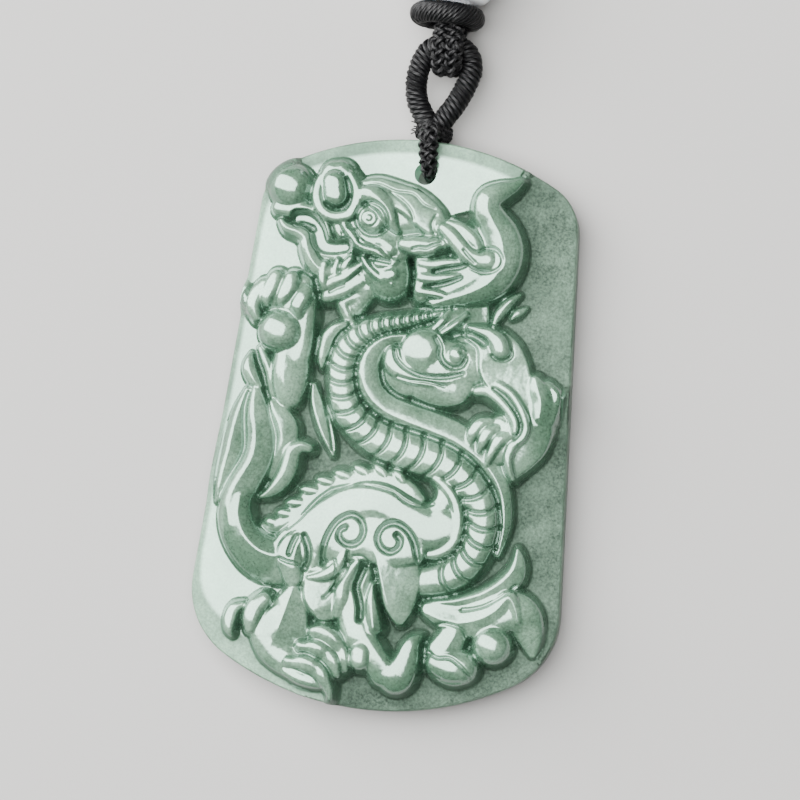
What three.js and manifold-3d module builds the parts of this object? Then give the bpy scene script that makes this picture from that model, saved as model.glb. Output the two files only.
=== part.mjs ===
// A carved jade plaque pendant with a dragon in relief, hung by a bound black
// cord loop, a collar knot and one pale bead, with its neck cord coiled beside it.
// It lies on its back: +X right, +Y to its top, +Z out of the carved face, in millimetres.
import * as THREE from 'three';
import { mergeVertices } from 'three/addons/utils/BufferGeometryUtils.js';
import Module from 'manifold-3d';

// Plaque sizes
const PLAQUE_HEIGHT = 60;
const PLAQUE_WIDTH = 36.4; // at mid height
const SIDE_TAPER = 0.0644; // each side leans in by this much for each mm up
const TOP_ARC_RADIUS = 28.9;
const BOTTOM_ARC_RADIUS = 29.9;
const TOP_CORNER_RADIUS = 5.6;
const BOTTOM_CORNER_RADIUS = 8.5;
const POLISHED_GROUND = 4.8; // thickness of the polished ground
const FROSTED_GROUND = 4.1; // thickness of the ground sunk and left frosted
const RELIEF_RISE = 4.3; // highest carving above the frosted ground
const FRONT_EDGE_RADIUS = 0.8;
const BACK_CHAMFER = 0.4;

// Cord hole, and the notch on the back that lets the loop's rear leg lie flush
const HOLE_DIAMETER = 2.3;
const HOLE_FROM_TOP = 3.6;
const HOLE_X = 0.2;
const CORD_CLEARANCE = 0.3;

// Hanging loop, link, collar and bead
const LEG_DIAMETER = 1.7;
const LOOP_CORD_DIAMETER = 2.1;
const LOOP_CORD_HEIGHT = 3.05; // centre of the oval loop's cord above the surface it lies on
const LOOP_REACH = 9.1; // from the binding to the far end of the oval
const OVAL_LINE = [ // the oval's centre line, across and up from the binding
  [-0.1, -0.1], [-1, 1.2], [-2, 2.9], [-2.35, 4.9], [-2.1, 6.9], [-1.2, 8.6], [0.6, LOOP_REACH],
  [2.4, 8.75], [3.3, 7.2], [3, 5.3], [2.1, 3.1], [1, 1.3], [0.1, -0.1],
];
const BINDING_RADIUS = 1.95;
const BINDING_LENGTH = 1.7;
const BINDING_EDGE = 0.6;
const LINK_WIDTH = 2.7;
const LINK_THICKNESS = 1.65;
const LINK_SLACK = 0.35; // how much further than its clearance the link's bend reaches
const COLLAR_DIAMETER = 8;
const COLLAR_LENGTH = 2.3;
const COLLAR_EDGE = 1.1;
const COLLAR_X = 0.5;
const BEAD_DIAMETER = 10;
const BEAD_END_DIAMETER = 8;
const BEAD_LENGTH = 10;
const BEAD_BORE = 4.4;

// Neck cord
const NECK_CORD_DIAMETER = 1.8;
const COIL_INNER_RADIUS = 6.4; // to the middle of the innermost turn
const COIL_TURNS = 4.25; // in each of the two layers
const COIL_PITCH = 1.85; // from turn to turn
const COIL_DISTANCE = 27.5; // from the bead to the coil's centre
const COIL_LAYERS = 2;
const LAYER_SLACK = 0.05;
const LEAD_SPREAD = 10.4; // how far the cord has spread from the bead, a little before the coil
const LEAD_RUN = 15.2; // and how far it has run

// Mesh fineness
const LATTICE = 128; // steps of the carving's lattice on a side, a power of two
const CARVING_TOLERANCE = 0.3; // how far a facet may stray from the carving
const OUTLINE_CARE = 3; // how much closer the facets keep to the plaque's outline
const FIELD_STEP = 2.5; // step of the height field in carving units
const CORNER_STEPS = 10;
const ARC_STEPS = 16;
const EDGE_STEPS = 2;
const HOLE_SIDES = 16;
const BEAD_STEPS = 6;
const BEAD_SIDES = 20;
const COLLAR_SIDES = 20;
const CORD_SIDES = 8;
const BINDING_SIDES = 16;
const OVAL_STEPS = 26;
const LINK_BEND_STEPS = 8;
const LINK_STEPS = 14;
const LEAD_STEPS = 11;
const COIL_SIDES = 24;
const DISC_EDGE_STEPS = 2;
const MERGE_DISTANCE = 1e-4;

// Places that follow from the sizes
const TOP_Y = PLAQUE_HEIGHT / 2;
const HOLE_Y = TOP_Y - HOLE_FROM_TOP;
const HOLE_CUT_LENGTH = 4 * POLISHED_GROUND;
const LEG_REAR_Z = LEG_DIAMETER / 2 + 0.08;
const LEG_FRONT_Z = POLISHED_GROUND + CORD_CLEARANCE + LEG_DIAMETER / 2;
const BINDING_X = HOLE_X + 0.1;
const BINDING_Y = TOP_Y + 0.45 + BINDING_LENGTH / 2;
const LINK_X = COLLAR_X + 0.45;
const COLLAR_Y = BINDING_Y + LOOP_REACH + LOOP_CORD_DIAMETER / 2 + 0.75 + COLLAR_LENGTH / 2;
const BEAD_Y = COLLAR_Y + COLLAR_LENGTH / 2 + CORD_CLEARANCE + BEAD_LENGTH / 2;

// The carving is drawn on the plaque in its own units: a thousand to the plaque's height
const UNIT_Y = PLAQUE_HEIGHT / 1000;
const UNIT_X = PLAQUE_WIDTH / 606.7;
const FROSTED_LEVEL = 68;
const UNIT_Z = RELIEF_RISE / 66;
const POLISHED_LEVEL = FROSTED_LEVEL + (POLISHED_GROUND - FROSTED_GROUND) / UNIT_Z;
const WALL_SLOPE = 3.5; // how steeply a form's side falls to the ground
const ROUNDNESS = 2.2;
const ROOF_FALL = 0.75; // how far a sharp form falls to its edges, for a rounded form's 1
const BELLY_CROWN = 0.75;
const POCKET_REACH = 12;
const MOUTH_FLOOR = 88;
const FIN_START = 18;
const FIN_END = 20;
const FIN_PITCH = 30;
const FIN_ROOT = 0.45; // place across the spine
const FIN_REACH = 3;
const FIN_LEAN = 12;
const FIN_WIDTH = 9;
const FIN_CROWN = 0.8;
const PLATES_START = 18;
const PLATES_END = 6;
const PLATE_PITCH = 8;
const PLATE_GROWTH = 0.68;
const PLATE_BOW = 0.38;
const PLATE_SLANT = 0.12;
const PLATE_CUT_WIDTH = 5;
const PLATE_CUT_DEPTH = 8;
const EDGE_PITCH = 12;
const EDGE_CUT_WIDTH = 4.2;
const EDGE_CUT_DEPTH = 5;
const LINE_FLARE = 1.2; // how much wider an engraved line opens at its top

// Where the ground is sunk and frosted: a smooth outline in carving units
const FROSTED_AREA = [[180, 470], [420, 470], [420, -560], [-60, -560], [-56, -470], [-110, -400],
  [-140, -300], [-220, -250], [-258, -160], [-236, -60], [-214, 60], [-176, 160], [-120, 215],
  [-60, 300], [0, 350], [128, 400]];

// The figures, each of named forms drawn as strokes: points of [x, y, half width, top].
// A form's number is how high its crown stands for its half width. With three numbers, the second
// is where across the crest lies (-1 right edge, 1 left edge) and the third how sharp it is (0 to 1).
const HEAD = [
  ['muzzle', 0.7, [[-150, 372, 44, 108], [-110, 372, 44, 114], [-60, 362, 50, 118],
    [-10, 362, 44, 116], [25, 362, 26, 112]]],
  ['upper jaw', 0.7, [[-160, 350, 22, 112], [-118, 338, 26, 116], [-75, 318, 34, 118],
    [-30, 300, 30, 116]]],
  ['cheek mass', 0.7, [[-62, 260, 34, 112], [-40, 262, 42, 117], [-34, 248, 42, 117]]],
  ['chin mass', 0.6, [[-130, 240, 28, 104], [-108, 240, 30, 106], [-80, 235, 30, 104],
    [-90, 200, 22, 96]]],
  ['lip ball', 1, [[-224, 391, 44, 128]]],
  ['lip lobe', 0.8, [[-240, 352, 15, 110], [-220, 352, 17, 114], [-198, 352, 14, 115],
    [-176, 346, 12, 116]]],
  ['nose hood', 0.6, [[-152, 420, 24, 120], [-140, 422, 24, 120]]],
  ['nose rim', 0.8, [[-122, 420, 8, 123], [-109, 398, 11, 127], [-105, 374, 11, 128],
    [-115, 352, 11, 128], [-140, 344, 11, 128], [-163, 352, 11, 128], [-175, 376, 10, 126],
    [-174, 402, 9, 122], [-164, 422, 8, 118]]],
  ['nose bulb', 0.85, [[-148, 404, 23, 132], [-143, 382, 23, 133]]],
  ['crest', [0.7, -0.7, 0.6], [[-92, 402, 14, 124], [-72, 402, 19, 126], [-40, 392, 24, 125],
    [-8, 380, 28, 124], [20, 360, 28, 122], [34, 346, 20, 120]]],
  ['brow', [0.7, 0, 0.4], [[-98, 389, 11, 128], [-80, 389, 18, 134], [-60, 375, 17, 134],
    [-47, 355, 13, 131], [-38, 340, 8, 125], [-29, 331, 4, 120]]],
  ['eye ball', 0.85, [[-82, 348, 23, 129], [-69, 342, 17, 126]]],
  ['upper lip', [0.8, 0, 0.3], [[-128, 338, 6, 124], [-113, 322, 9, 126], [-99, 306, 10, 127],
    [-85, 297, 10, 127], [-62, 292, 10, 126], [-42, 281, 8, 121]]],
  ['lower jaw', [0.8, 0, 0.8], [[-236, 330, 4, 108], [-224, 318, 8, 113], [-205, 313, 10, 115],
    [-190, 304, 11, 117], [-183, 284, 12, 118], [-173, 266, 13, 118], [-160, 254, 14, 116],
    [-142, 248, 12, 114]]],
  ['beard', 0.6, [[-88, 240, 14, 108], [-112, 224, 16, 110], [-136, 210, 14, 108],
    [-142, 202, 8, 102]]],
  ['beard tail', 0.6, [[-96, 214, 14, 100], [-112, 200, 12, 98], [-104, 180, 10, 94],
    [-96, 168, 8, 90]]],
  ['ear', 0.8, [[-14, 309, 12, 128], [6, 309, 18, 130], [26, 309, 18, 130], [46, 313, 13, 128],
    [60, 320, 6, 122]]],
];
const HORNS = [
  ['horn web', 0.15, [[30, 270, 26, 106], [60, 262, 30, 108], [100, 262, 34, 110],
    [128, 285, 30, 112], [120, 320, 24, 112], [70, 340, 20, 112]]],
  ['horn web low', 0.15, [[36, 236, 26, 106], [70, 240, 24, 108], [100, 252, 20, 110]]],
  ['horn', [0.9, 0, 0.5], [[174, 442, 6, 100], [160, 430, 12, 108], [138, 418, 19, 116],
    [122, 404, 24, 122], [122, 384, 26, 124], [134, 364, 30, 125], [147, 344, 36, 126],
    [156, 320, 38, 126], [157, 298, 36, 126], [150, 274, 33, 125], [133, 254, 29, 123],
    [108, 239, 22, 120], [78, 226, 15, 116], [48, 214, 8, 108]]],
  ['hair root', 0.6, [[22, 282, 16, 116], [24, 262, 15, 116], [22, 240, 15, 116], [24, 224, 13, 114]]],
  ['lock one', 0.9, [[20, 280, 8, 118], [40, 280, 10, 119], [62, 286, 9, 118], [88, 290, 5, 114]]],
  ['lock two', 0.9, [[22, 256, 11, 119], [44, 256, 10, 118], [66, 261, 7, 116], [87, 266, 4, 112]]],
  ['lock three', 0.9, [[22, 232, 10, 118], [42, 231, 9, 116], [60, 229, 7, 114], [75, 226, 4, 110]]],
  ['antler leaf', 0.8, [[58, 354, 7, 120], [82, 345, 13, 122], [102, 330, 15, 122],
    [114, 316, 12, 118]]],
  ['antler', 0.8, [[50, 344, 9, 126], [64, 334, 14, 128], [80, 318, 15, 128], [98, 302, 15, 127],
    [118, 296, 18, 127], [132, 297, 20, 127]]],
  ['nape leaf', [0.7, 0, 0.8], [[192, 246, 3, 88], [177, 232, 8, 93], [164, 214, 9, 94],
    [155, 194, 5, 90]]],
];
const PAW = [
  ['hand back', 0.7, [[-184, 222, 20, 113], [-180, 196, 24, 115], [-178, 160, 24, 114],
    [-180, 126, 26, 112], [-184, 98, 28, 113]]],
  ['palm', 0.6, [[-238, 200, 32, 116], [-208, 210, 34, 119], [-198, 188, 34, 118]]],
  ['wrist', [0.8, -0.3, 0.5], [[-190, 100, 32, 115], [-190, 74, 34, 120], [-189, 50, 31, 119],
    [-187, 26, 23, 112]]],
  ['toe one', 0.9, [[-251, 214, 13, 118], [-262, 196, 15, 121], [-266, 176, 14, 121],
    [-258, 157, 9, 116]]],
  ['toe two', 0.9, [[-231, 230, 14, 121], [-237, 212, 16, 125], [-243, 194, 12, 124],
    [-242, 182, 7, 119]]],
  ['toe three', 0.9, [[-203, 230, 15, 123], [-207, 212, 17, 127], [-215, 196, 12, 125],
    [-220, 186, 7, 120]]],
  ['thumb', 0.9, [[-176, 210, 14, 120], [-182, 196, 17, 125], [-187, 182, 14, 125],
    [-184, 168, 9, 118]]],
  ['pearl', 1, [[-214, 138, 42, 132]]],
  ['paw leaf', [0.8, 0, 0.8], [[-262, 92, 4, 100], [-262, 70, 11, 109], [-253, 51, 11, 110],
    [-241, 38, 6, 106]]],
];
const STRANDS = [
  ['left strand', [0.8, -0.45, 0.7], [[-258, 28, 8, 104], [-264, -8, 18, 108], [-268, -45, 22, 109],
    [-272, -80, 22, 108], [-279, -112, 18, 106], [-287, -145, 10, 102], [-291, -168, 3, 98]]],
  ['second strand', [0.8, -0.5, 0.6], [[-213, 12, 6, 106], [-199, -5, 15, 112], [-186, -25, 20, 113],
    [-181, -46, 19, 112], [-185, -72, 15, 108], [-193, -96, 9, 100], [-202, -116, 5, 92]]],
  ['tail tube', [0.9, -0.35, 0.6], [[-244, 30, 8, 108], [-240, 5, 17, 114], [-234, -20, 23, 118],
    [-227, -48, 26, 120], [-226, -75, 26, 121], [-232, -100, 26, 121], [-244, -125, 27, 121],
    [-254, -150, 28, 121], [-257, -178, 29, 121], [-251, -205, 30, 119]]],
  ['tail bend', [0.8, 0.2, 0.5], [[-255, -160, 26, 119], [-256, -185, 30, 121], [-248, -212, 33, 121],
    [-232, -235, 36, 121], [-208, -253, 41, 120], [-180, -260, 44, 119], [-150, -255, 46, 118]]],
  ['hooked strand', [0.8, -0.3, 0.5], [[-141, -60, 8, 108], [-156, -59, 11, 112],
    [-168, -70, 14, 114], [-171, -90, 16, 114], [-176, -110, 16, 113], [-187, -130, 13, 110],
    [-201, -145, 8, 104], [-216, -153, 3, 98]]],
  ['blade', [0.8, -0.6, 0.8], [[-147, 52, 4, 92], [-139, 24, 10, 98], [-127, -4, 13, 100],
    [-115, -30, 12, 99], [-105, -50, 8, 96], [-99, -66, 3, 92]]],
  ['crescent', [0.6, -0.4, 0.6], [[-104, 162, 5, 100], [-119, 153, 9, 104], [-130, 138, 11, 105],
    [-134, 118, 10, 104], [-137, 98, 7, 101], [-136, 84, 3, 97]]],
];
const DORSAL = [
  ['dorsal', 0.6, [[-204, -202, 8, 92], [-188, -203, 11, 98], [-168, -192, 15, 103],
    [-145, -174, 23, 106], [-123, -149, 24, 107], [-96, -128, 23, 107], [-68, -112, 20, 107],
    [-40, -101, 18, 107], [-10, -99, 18, 107], [20, -104, 18, 106], [44, -115, 15, 104],
    [62, -126, 9, 100]]],
];
const BODY = [
  ['haunch', 0.35, [[-140, -238, 44, 118], [-106, -206, 43, 122], [-74, -171, 39, 124],
    [-42, -145, 33, 125], [-4, -140, 32, 125], [40, -160, 32, 124], [80, -178, 36, 123],
    [108, -170, 32, 122]]],
  ['haunch bridge', 0.25, [[-70, -205, 46, 122], [-30, -195, 46, 122], [20, -205, 44, 123],
    [60, -215, 24, 120]]],
  ['inner rim', 0.5, [[62, -152, 14, 112], [88, -148, 16, 116], [104, -128, 16, 116],
    [104, -104, 14, 114], [88, -86, 12, 110]]],
  ['flank', [0.8, -0.4, 0.5], [[4, 150, 8, 108], [-26, 141, 14, 114], [-48, 118, 19, 118],
    [-54, 90, 21, 119], [-48, 62, 21, 119], [-32, 40, 21, 118], [-6, 24, 22, 117], [30, 13, 23, 117],
    [70, 3, 24, 116], [110, -9, 24, 115], [145, -28, 22, 112], [172, -50, 17, 108],
    [194, -78, 14, 104], [207, -108, 12, 100], [213, -142, 11, 98], [211, -176, 9, 94],
    [205, -206, 6, 90]]],
  ['neck', [0.6, -0.9, 1], [[114, 216, 28, 100], [110, 190, 34, 106], [100, 166, 34, 110]]],
];
const BACK_RIM = [
  ['back rim', 0.8, [[86, -88, 7, 116], [104, -100, 9, 119], [120, -118, 10, 120],
    [130, -140, 11, 120], [134, -165, 11, 120], [130, -190, 11, 119], [118, -208, 11, 117],
    [100, -218, 10, 114], [84, -220, 8, 110]]],
  ['neck rim', [0.8, 0, 0.6], [[36, 164, 4, 112], [54, 171, 6, 114], [66, 184, 7, 114],
    [76, 202, 6, 108]]],
];
const FORELEG = [
  ['upper arm', [0.6, -0.95, 1], [[120, 168, 12, 114], [150, 160, 24, 118], [170, 140, 36, 120],
    [180, 115, 42, 120], [196, 90, 36, 118], [215, 60, 30, 117], [226, 30, 28, 116],
    [222, 5, 28, 115]]],
  ['arm root', 0.5, [[60, 110, 50, 126], [100, 110, 44, 119], [140, 120, 36, 109]]],
  ['low muscle', [0.6, 0.5, 0.4], [[-4, 104, 22, 119], [0, 84, 24, 118], [14, 72, 23, 116],
    [28, 70, 20, 115]]],
  ['low muscle right', [0.6, 0.5, 0.4], [[44, 68, 24, 117], [72, 66, 29, 118], [98, 68, 28, 118],
    [112, 80, 22, 116]]],
  ['mid lobe', 0.7, [[-12, 118, 14, 122], [-8, 100, 18, 124], [10, 88, 16, 124], [40, 80, 12, 122],
    [80, 82, 10, 120], [106, 92, 8, 118]]],
  ['shoulder ball', [0.6, -0.4, 0.5], [[34, 112, 32, 126], [37, 126, 38, 132], [42, 136, 34, 131]]],
  ['scroll', 0.8, [[99, 128, 16, 129]]],
  ['upper hook', 0.8, [[114, 178, 4, 116], [130, 174, 9, 120], [150, 170, 13, 122],
    [166, 158, 18, 124], [172, 146, 18, 124]]],
  ['elbow tuft', [0.9, 0, 0.6], [[237, 101, 8, 112], [243, 84, 18, 115], [251, 62, 26, 115],
    [251, 36, 26, 114]]],
  ['elbow point', 0.7, [[258, 90, 14, 103], [273, 77, 13, 103], [268, 56, 18, 104],
    [266, 34, 15, 104]]],
  ['hand', [0.7, -0.7, 0.5], [[246, 16, 32, 114], [241, -12, 30, 114], [229, -40, 22, 110],
    [219, -66, 9, 104]]],
  ['palm', 0.5, [[188, 14, 20, 112], [200, 0, 24, 114], [196, -18, 20, 112], [188, -38, 14, 108]]],
  ['cord one', 0.9, [[140, 70, 9, 112], [158, 72, 11, 118], [178, 60, 9, 121], [198, 42, 8, 122],
    [211, 24, 8, 122], [213, 8, 7, 120]]],
  ['cord two', 0.9, [[176, 84, 8, 118], [198, 72, 7, 121], [214, 54, 7, 122], [226, 34, 7, 122],
    [232, 14, 7, 121], [226, -4, 7, 120], [208, -18, 6, 118]]],
  ['toe one', 0.9, [[168, 20, 9, 112], [152, 14, 12, 118], [141, -2, 11, 118], [137, -20, 7, 112]]],
  ['toe two', 0.9, [[180, 8, 10, 116], [167, 0, 12, 121], [160, -15, 10, 120], [156, -30, 6, 114]]],
  ['toe three', 0.9, [[202, -2, 11, 116], [188, -10, 12, 122], [180, -26, 9, 120], [174, -42, 7, 116],
    [170, -54, 4, 110]]],
  ['toe four', 0.9, [[222, -6, 10, 116], [210, -22, 9, 119], [206, -40, 8, 118], [210, -58, 7, 115],
    [218, -74, 4, 110]]],
];
const THIGH = [
  ['thigh', [0.6, -0.9, 0.9], [[20, -216, 30, 122], [36, -244, 36, 122], [44, -275, 34, 121],
    [47, -305, 27, 117], [50, -334, 12, 109]]],
];
const HINDLEG = [
  ['knee lobe', [0.6, -0.8, 0.9], [[-98, -290, 25, 115], [-90, -310, 33, 117], [-80, -323, 31, 116]]],
  ['knee lobe top', [0.6, 0.8, 0.9], [[-120, -285, 22, 112], [-100, -290, 28, 113],
    [-72, -275, 30, 114], [-50, -262, 24, 114]]],
  ['hip leaf', [0.7, 0, 0.6], [[-129, -205, 4, 112], [-116, -226, 9, 116], [-107, -248, 10, 117],
    [-111, -268, 8, 113], [-122, -281, 5, 108]]],
  ['hip flame', 0.6, [[-138, -205, 4, 118], [-149, -226, 17, 124], [-152, -246, 23, 126],
    [-147, -264, 22, 125], [-141, -286, 17, 119]]],
  ['knee flame', [0.8, 0, 0.6], [[-113, -283, 4, 115], [-93, -278, 8, 118], [-77, -270, 10, 121],
    [-65, -256, 9, 122], [-57, -240, 7, 122], [-50, -226, 3, 120]]],
  ['shin', [0.75, -0.2, 1], [[-138, -306, 9, 116], [-140, -325, 20, 119], [-143, -350, 33, 120],
    [-149, -380, 42, 119], [-156, -405, 42, 112]]],
  ['heel', 0.5, [[-162, -352, 16, 112], [-174, -374, 24, 114], [-180, -392, 24, 113],
    [-160, -418, 26, 110], [-130, -434, 26, 108], [-100, -444, 24, 108]]],
  ['claw one', 0.8, [[-188, -330, 15, 116], [-200, -345, 18, 120], [-205, -364, 16, 120],
    [-205, -380, 11, 116]]],
  ['claw two', 0.8, [[-224, -342, 6, 106], [-238, -351, 11, 110], [-243, -368, 12, 111],
    [-243, -385, 9, 110], [-238, -396, 4, 104]]],
  ['foot back', 0.6, [[-70, -392, 30, 108], [-54, -412, 26, 108], [-50, -434, 16, 104]]],
  ['hind toe one', [0.8, 0.3, 0.2], [[-92, -376, 12, 114], [-76, -377, 17, 120], [-60, -386, 18, 119],
    [-46, -400, 14, 113], [-38, -416, 12, 114], [-34, -432, 7, 108]]],
  ['hind toe two', [0.8, 0.2, 0.2], [[-114, -402, 10, 118], [-100, -402, 11, 117],
    [-84, -403, 15, 123], [-68, -410, 15, 119], [-54, -424, 12, 120], [-47, -442, 8, 112]]],
  ['hind toe three', [0.8, 0.2, 0.2], [[-133, -431, 9, 116], [-118, -431, 11, 116],
    [-100, -431, 15, 122], [-82, -438, 15, 119], [-70, -450, 13, 119], [-58, -470, 8, 110],
    [-54, -486, 4, 103]]],
  ['hind toe four', 0.8, [[-134, -448, 9, 108], [-112, -456, 12, 111], [-92, -460, 12, 110],
    [-76, -464, 8, 106]]],
];
const WAVES = [
  ['wave root', 0.6, [[-30, -270, 26, 112], [-34, -300, 28, 110], [-30, -335, 30, 112],
    [-18, -370, 30, 114]]],
  ['wave right', [0.8, 0, 0.8], [[0, -284, 4, 113], [-1, -306, 8, 117], [3, -330, 10, 118],
    [8, -356, 14, 117]]],
  ['wave left', [0.7, 0, 0.5], [[-32, -246, 5, 116], [-42, -262, 8, 118], [-52, -284, 10, 117],
    [-54, -312, 12, 116], [-58, -340, 8, 110]]],
  ['wave foot', [0.6, 0.3, 0.3], [[-16, -372, 26, 114], [2, -394, 26, 116], [20, -414, 24, 117],
    [34, -430, 26, 116]]],
  ['hooked flame', [0.7, 0.2, 0.2], [[46, -436, 26, 114], [56, -436, 30, 119], [66, -424, 26, 120],
    [72, -404, 21, 119], [75, -385, 16, 117], [81, -370, 10, 112], [91, -362, 4, 105]]],
  ['small curl', 0.9, [[-9, -402, 19, 122], [-9, -414, 19, 122]]],
  ['cloud leaf', [0.7, -0.5, 0.7], [[240, -193, 3, 100], [244, -218, 12, 107], [238, -242, 18, 111],
    [218, -264, 18, 112], [192, -282, 16, 112], [166, -292, 13, 111], [138, -299, 9, 109],
    [104, -303, 5, 104]]],
  ['cloud back', 0.4, [[100, -314, 14, 106], [130, -324, 22, 109], [165, -326, 28, 112],
    [200, -316, 34, 114], [236, -300, 36, 112], [260, -308, 34, 104], [276, -338, 24, 94],
    [284, -368, 9, 84]]],
  ['cloud ridge', [0.7, 0, 0.7], [[98, -320, 8, 108], [125, -328, 14, 113], [155, -330, 16, 116],
    [188, -320, 16, 118], [214, -302, 16, 119], [234, -278, 12, 119], [247, -294, 9, 116],
    [254, -316, 6, 112]]],
  ['cloud neck', [0.6, 0, 0.4], [[150, -334, 18, 114], [146, -356, 24, 115], [132, -384, 28, 116]]],
  ['curl ball', 0.9, [[130, -404, 27, 120], [150, -408, 34, 121], [166, -406, 32, 118]]],
  ['cloud ball', 1, [[215, -362, 37, 126]]],
];

// The banded belly, as one stroke
const BELLY = [[62, 199, 7, 104], [45, 193, 9, 108], [20, 184, 13, 112], [-10, 175, 15.5, 116],
  [-35, 168, 17, 118], [-60, 156, 20, 120], [-82, 135, 23, 121], [-95, 110, 24.5, 122],
  [-99, 85, 24.5, 122], [-96, 58, 25.5, 122], [-88, 30, 27, 122], [-74, 6, 29, 122],
  [-52, -14, 31, 122], [-25, -30, 33, 122], [10, -41, 35, 122], [50, -50, 36, 122],
  [90, -60, 35, 122], [120, -74, 33, 122], [146, -95, 31, 122], [165, -122, 30, 121],
  [174, -152, 30, 120], [173, -182, 30, 118], [164, -212, 30, 116], [146, -238, 31, 113],
  [118, -258, 31, 110], [88, -266, 29, 106]];

// The deeper engraved lines: name, half width, depth, points of [x, y]
const LINES = [
  ['eye socket', 4, 8, [[-92, 372], [-76, 375], [-58, 367], [-48, 350], [-50, 332], [-64, 321],
    [-82, 321], [-97, 331], [-103, 348], [-99, 364]]],
  ['nostril', 4, 8, [[-128, 413], [-119, 399], [-117, 383], [-126, 366], [-142, 359], [-158, 366]]],
  ['ear pit', 8, 12, [[48, 300], [54, 306]]],
  ['cheek gap', 5, 22, [[-2, 284], [4, 266], [6, 246], [4, 226]]],
  ['lock gap one', 4, 8, [[42, 268], [62, 275], [84, 280], [98, 287]]],
  ['lock gap two', 4, 8, [[30, 241], [54, 246], [74, 254], [90, 263]]],
  ['mid groove', 4, 9, [[-10, 132], [-6, 114], [4, 102], [20, 92], [40, 86], [66, 85], [90, 89],
    [112, 97]]],
  ['scroll groove', 5, 10, [[60, 154], [69, 140], [71, 124], [80, 111], [95, 105], [109, 110],
    [114, 124], [106, 135]]],
  ['arm groove', 8, 14, [[142, 154], [132, 160], [118, 165], [100, 166], [86, 161]]],
  ['hip eye', 6, 9, [[-141, -214], [-146, -228], [-150, -245]]],
  ['hip hollow', 6, 12, [[-129, -212], [-120, -230], [-117, -250], [-123, -268]]],
  ['tuft line', 4, 9, [[-50, -230], [-50, -244], [-50, -262], [-60, -282], [-72, -300]]],
  ['wave pit', 7, 24, [[-20, -254], [-26, -272], [-30, -290], [-24, -308], [-19, -326], [-18, -344]]],
  ['thigh groove', 5, 16, [[4, -284], [12, -308], [26, -332], [40, -348]]],
  ['left scroll', 6, 11, [[-91, -258], [-93, -235], [-87, -206], [-73, -180], [-51, -167],
    [-33, -175], [-26, -195], [-34, -213], [-51, -219], [-66, -211], [-68, -197], [-59, -190]]],
  ['right scroll', 6, 11, [[72, -232], [63, -203], [47, -182], [26, -173], [7, -181], [-1, -200],
    [6, -217], [22, -224], [36, -216], [39, -202], [31, -193]]],
];

// The open mouth: a hollow along points of [x, y, half width]
const MOUTH = [[-206, 336, 9], [-190, 336, 9], [-172, 322, 8], [-160, 296, 9], [-140, 292, 8],
  [-120, 296, 7]];

// Height field of the carving, in carving units
const FIELD = { left: -330, bottom: -520 };
FIELD.columns = Math.round((-2 * FIELD.left) / FIELD_STEP) + 1;
FIELD.rows = Math.round((-2 * FIELD.bottom) / FIELD_STEP) + 1;
const heights = new Float64Array(FIELD.columns * FIELD.rows);

// A smooth line through hand-placed points, whatever number of values each holds
function smoothLine(points, steps = 5) {
  const line = [];
  for (let i = 0; i < points.length - 1; i += 1) {
    const before = points[Math.max(i - 1, 0)];
    const from = points[i];
    const to = points[i + 1];
    const after = points[Math.min(i + 2, points.length - 1)];
    for (let k = 0; k < steps; k += 1) {
      const t = k / steps;
      line.push(from.map((value, n) => 0.5 * (2 * value
        + (to[n] - before[n]) * t
        + (2 * before[n] - 5 * value + 4 * to[n] - after[n]) * t * t
        + (3 * value - before[n] - 3 * to[n] + after[n]) * t * t * t)));
    }
  }
  line.push(points[points.length - 1]);
  return line;
}

// The first and last cell that a stretch from p to q can reach, along one side of the field
function cellsBetween(p, q, reach, start, cells) {
  const first = Math.ceil((Math.min(p, q) - reach - start) / FIELD_STEP);
  const last = Math.floor((Math.max(p, q) + reach - start) / FIELD_STEP);
  return [Math.max(first, 0), Math.min(last, cells - 1)];
}

// Visits the cells near the stretch from a to b: their distance, their share of the way along it,
// how far they lie to its left, and how far beyond its ends
function visitNear(a, b, reach, visit) {
  const [firstColumn, lastColumn] = cellsBetween(a[0], b[0], reach, FIELD.left, FIELD.columns);
  const [firstRow, lastRow] = cellsBetween(a[1], b[1], reach, FIELD.bottom, FIELD.rows);
  const dx = b[0] - a[0];
  const dy = b[1] - a[1];
  const stretch = Math.hypot(dx, dy);
  for (let row = firstRow; row <= lastRow; row += 1) {
    const y = FIELD.bottom + row * FIELD_STEP;
    for (let column = firstColumn; column <= lastColumn; column += 1) {
      const x = FIELD.left + column * FIELD_STEP;
      const away = Math.hypot(x - a[0], y - a[1]);
      const along = stretch > 0 ? ((x - a[0]) * dx + (y - a[1]) * dy) / stretch : -away;
      const left = stretch > 0 ? ((y - a[1]) * dx - (x - a[0]) * dy) / stretch : 0;
      const beyond = Math.max(-along, along - stretch, 0);
      const t = stretch > 0 ? Math.min(Math.max(along / stretch, 0), 1) : 0;
      visit(row * FIELD.columns + column, Math.hypot(left, beyond), t, left, beyond);
    }
  }
}

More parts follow.
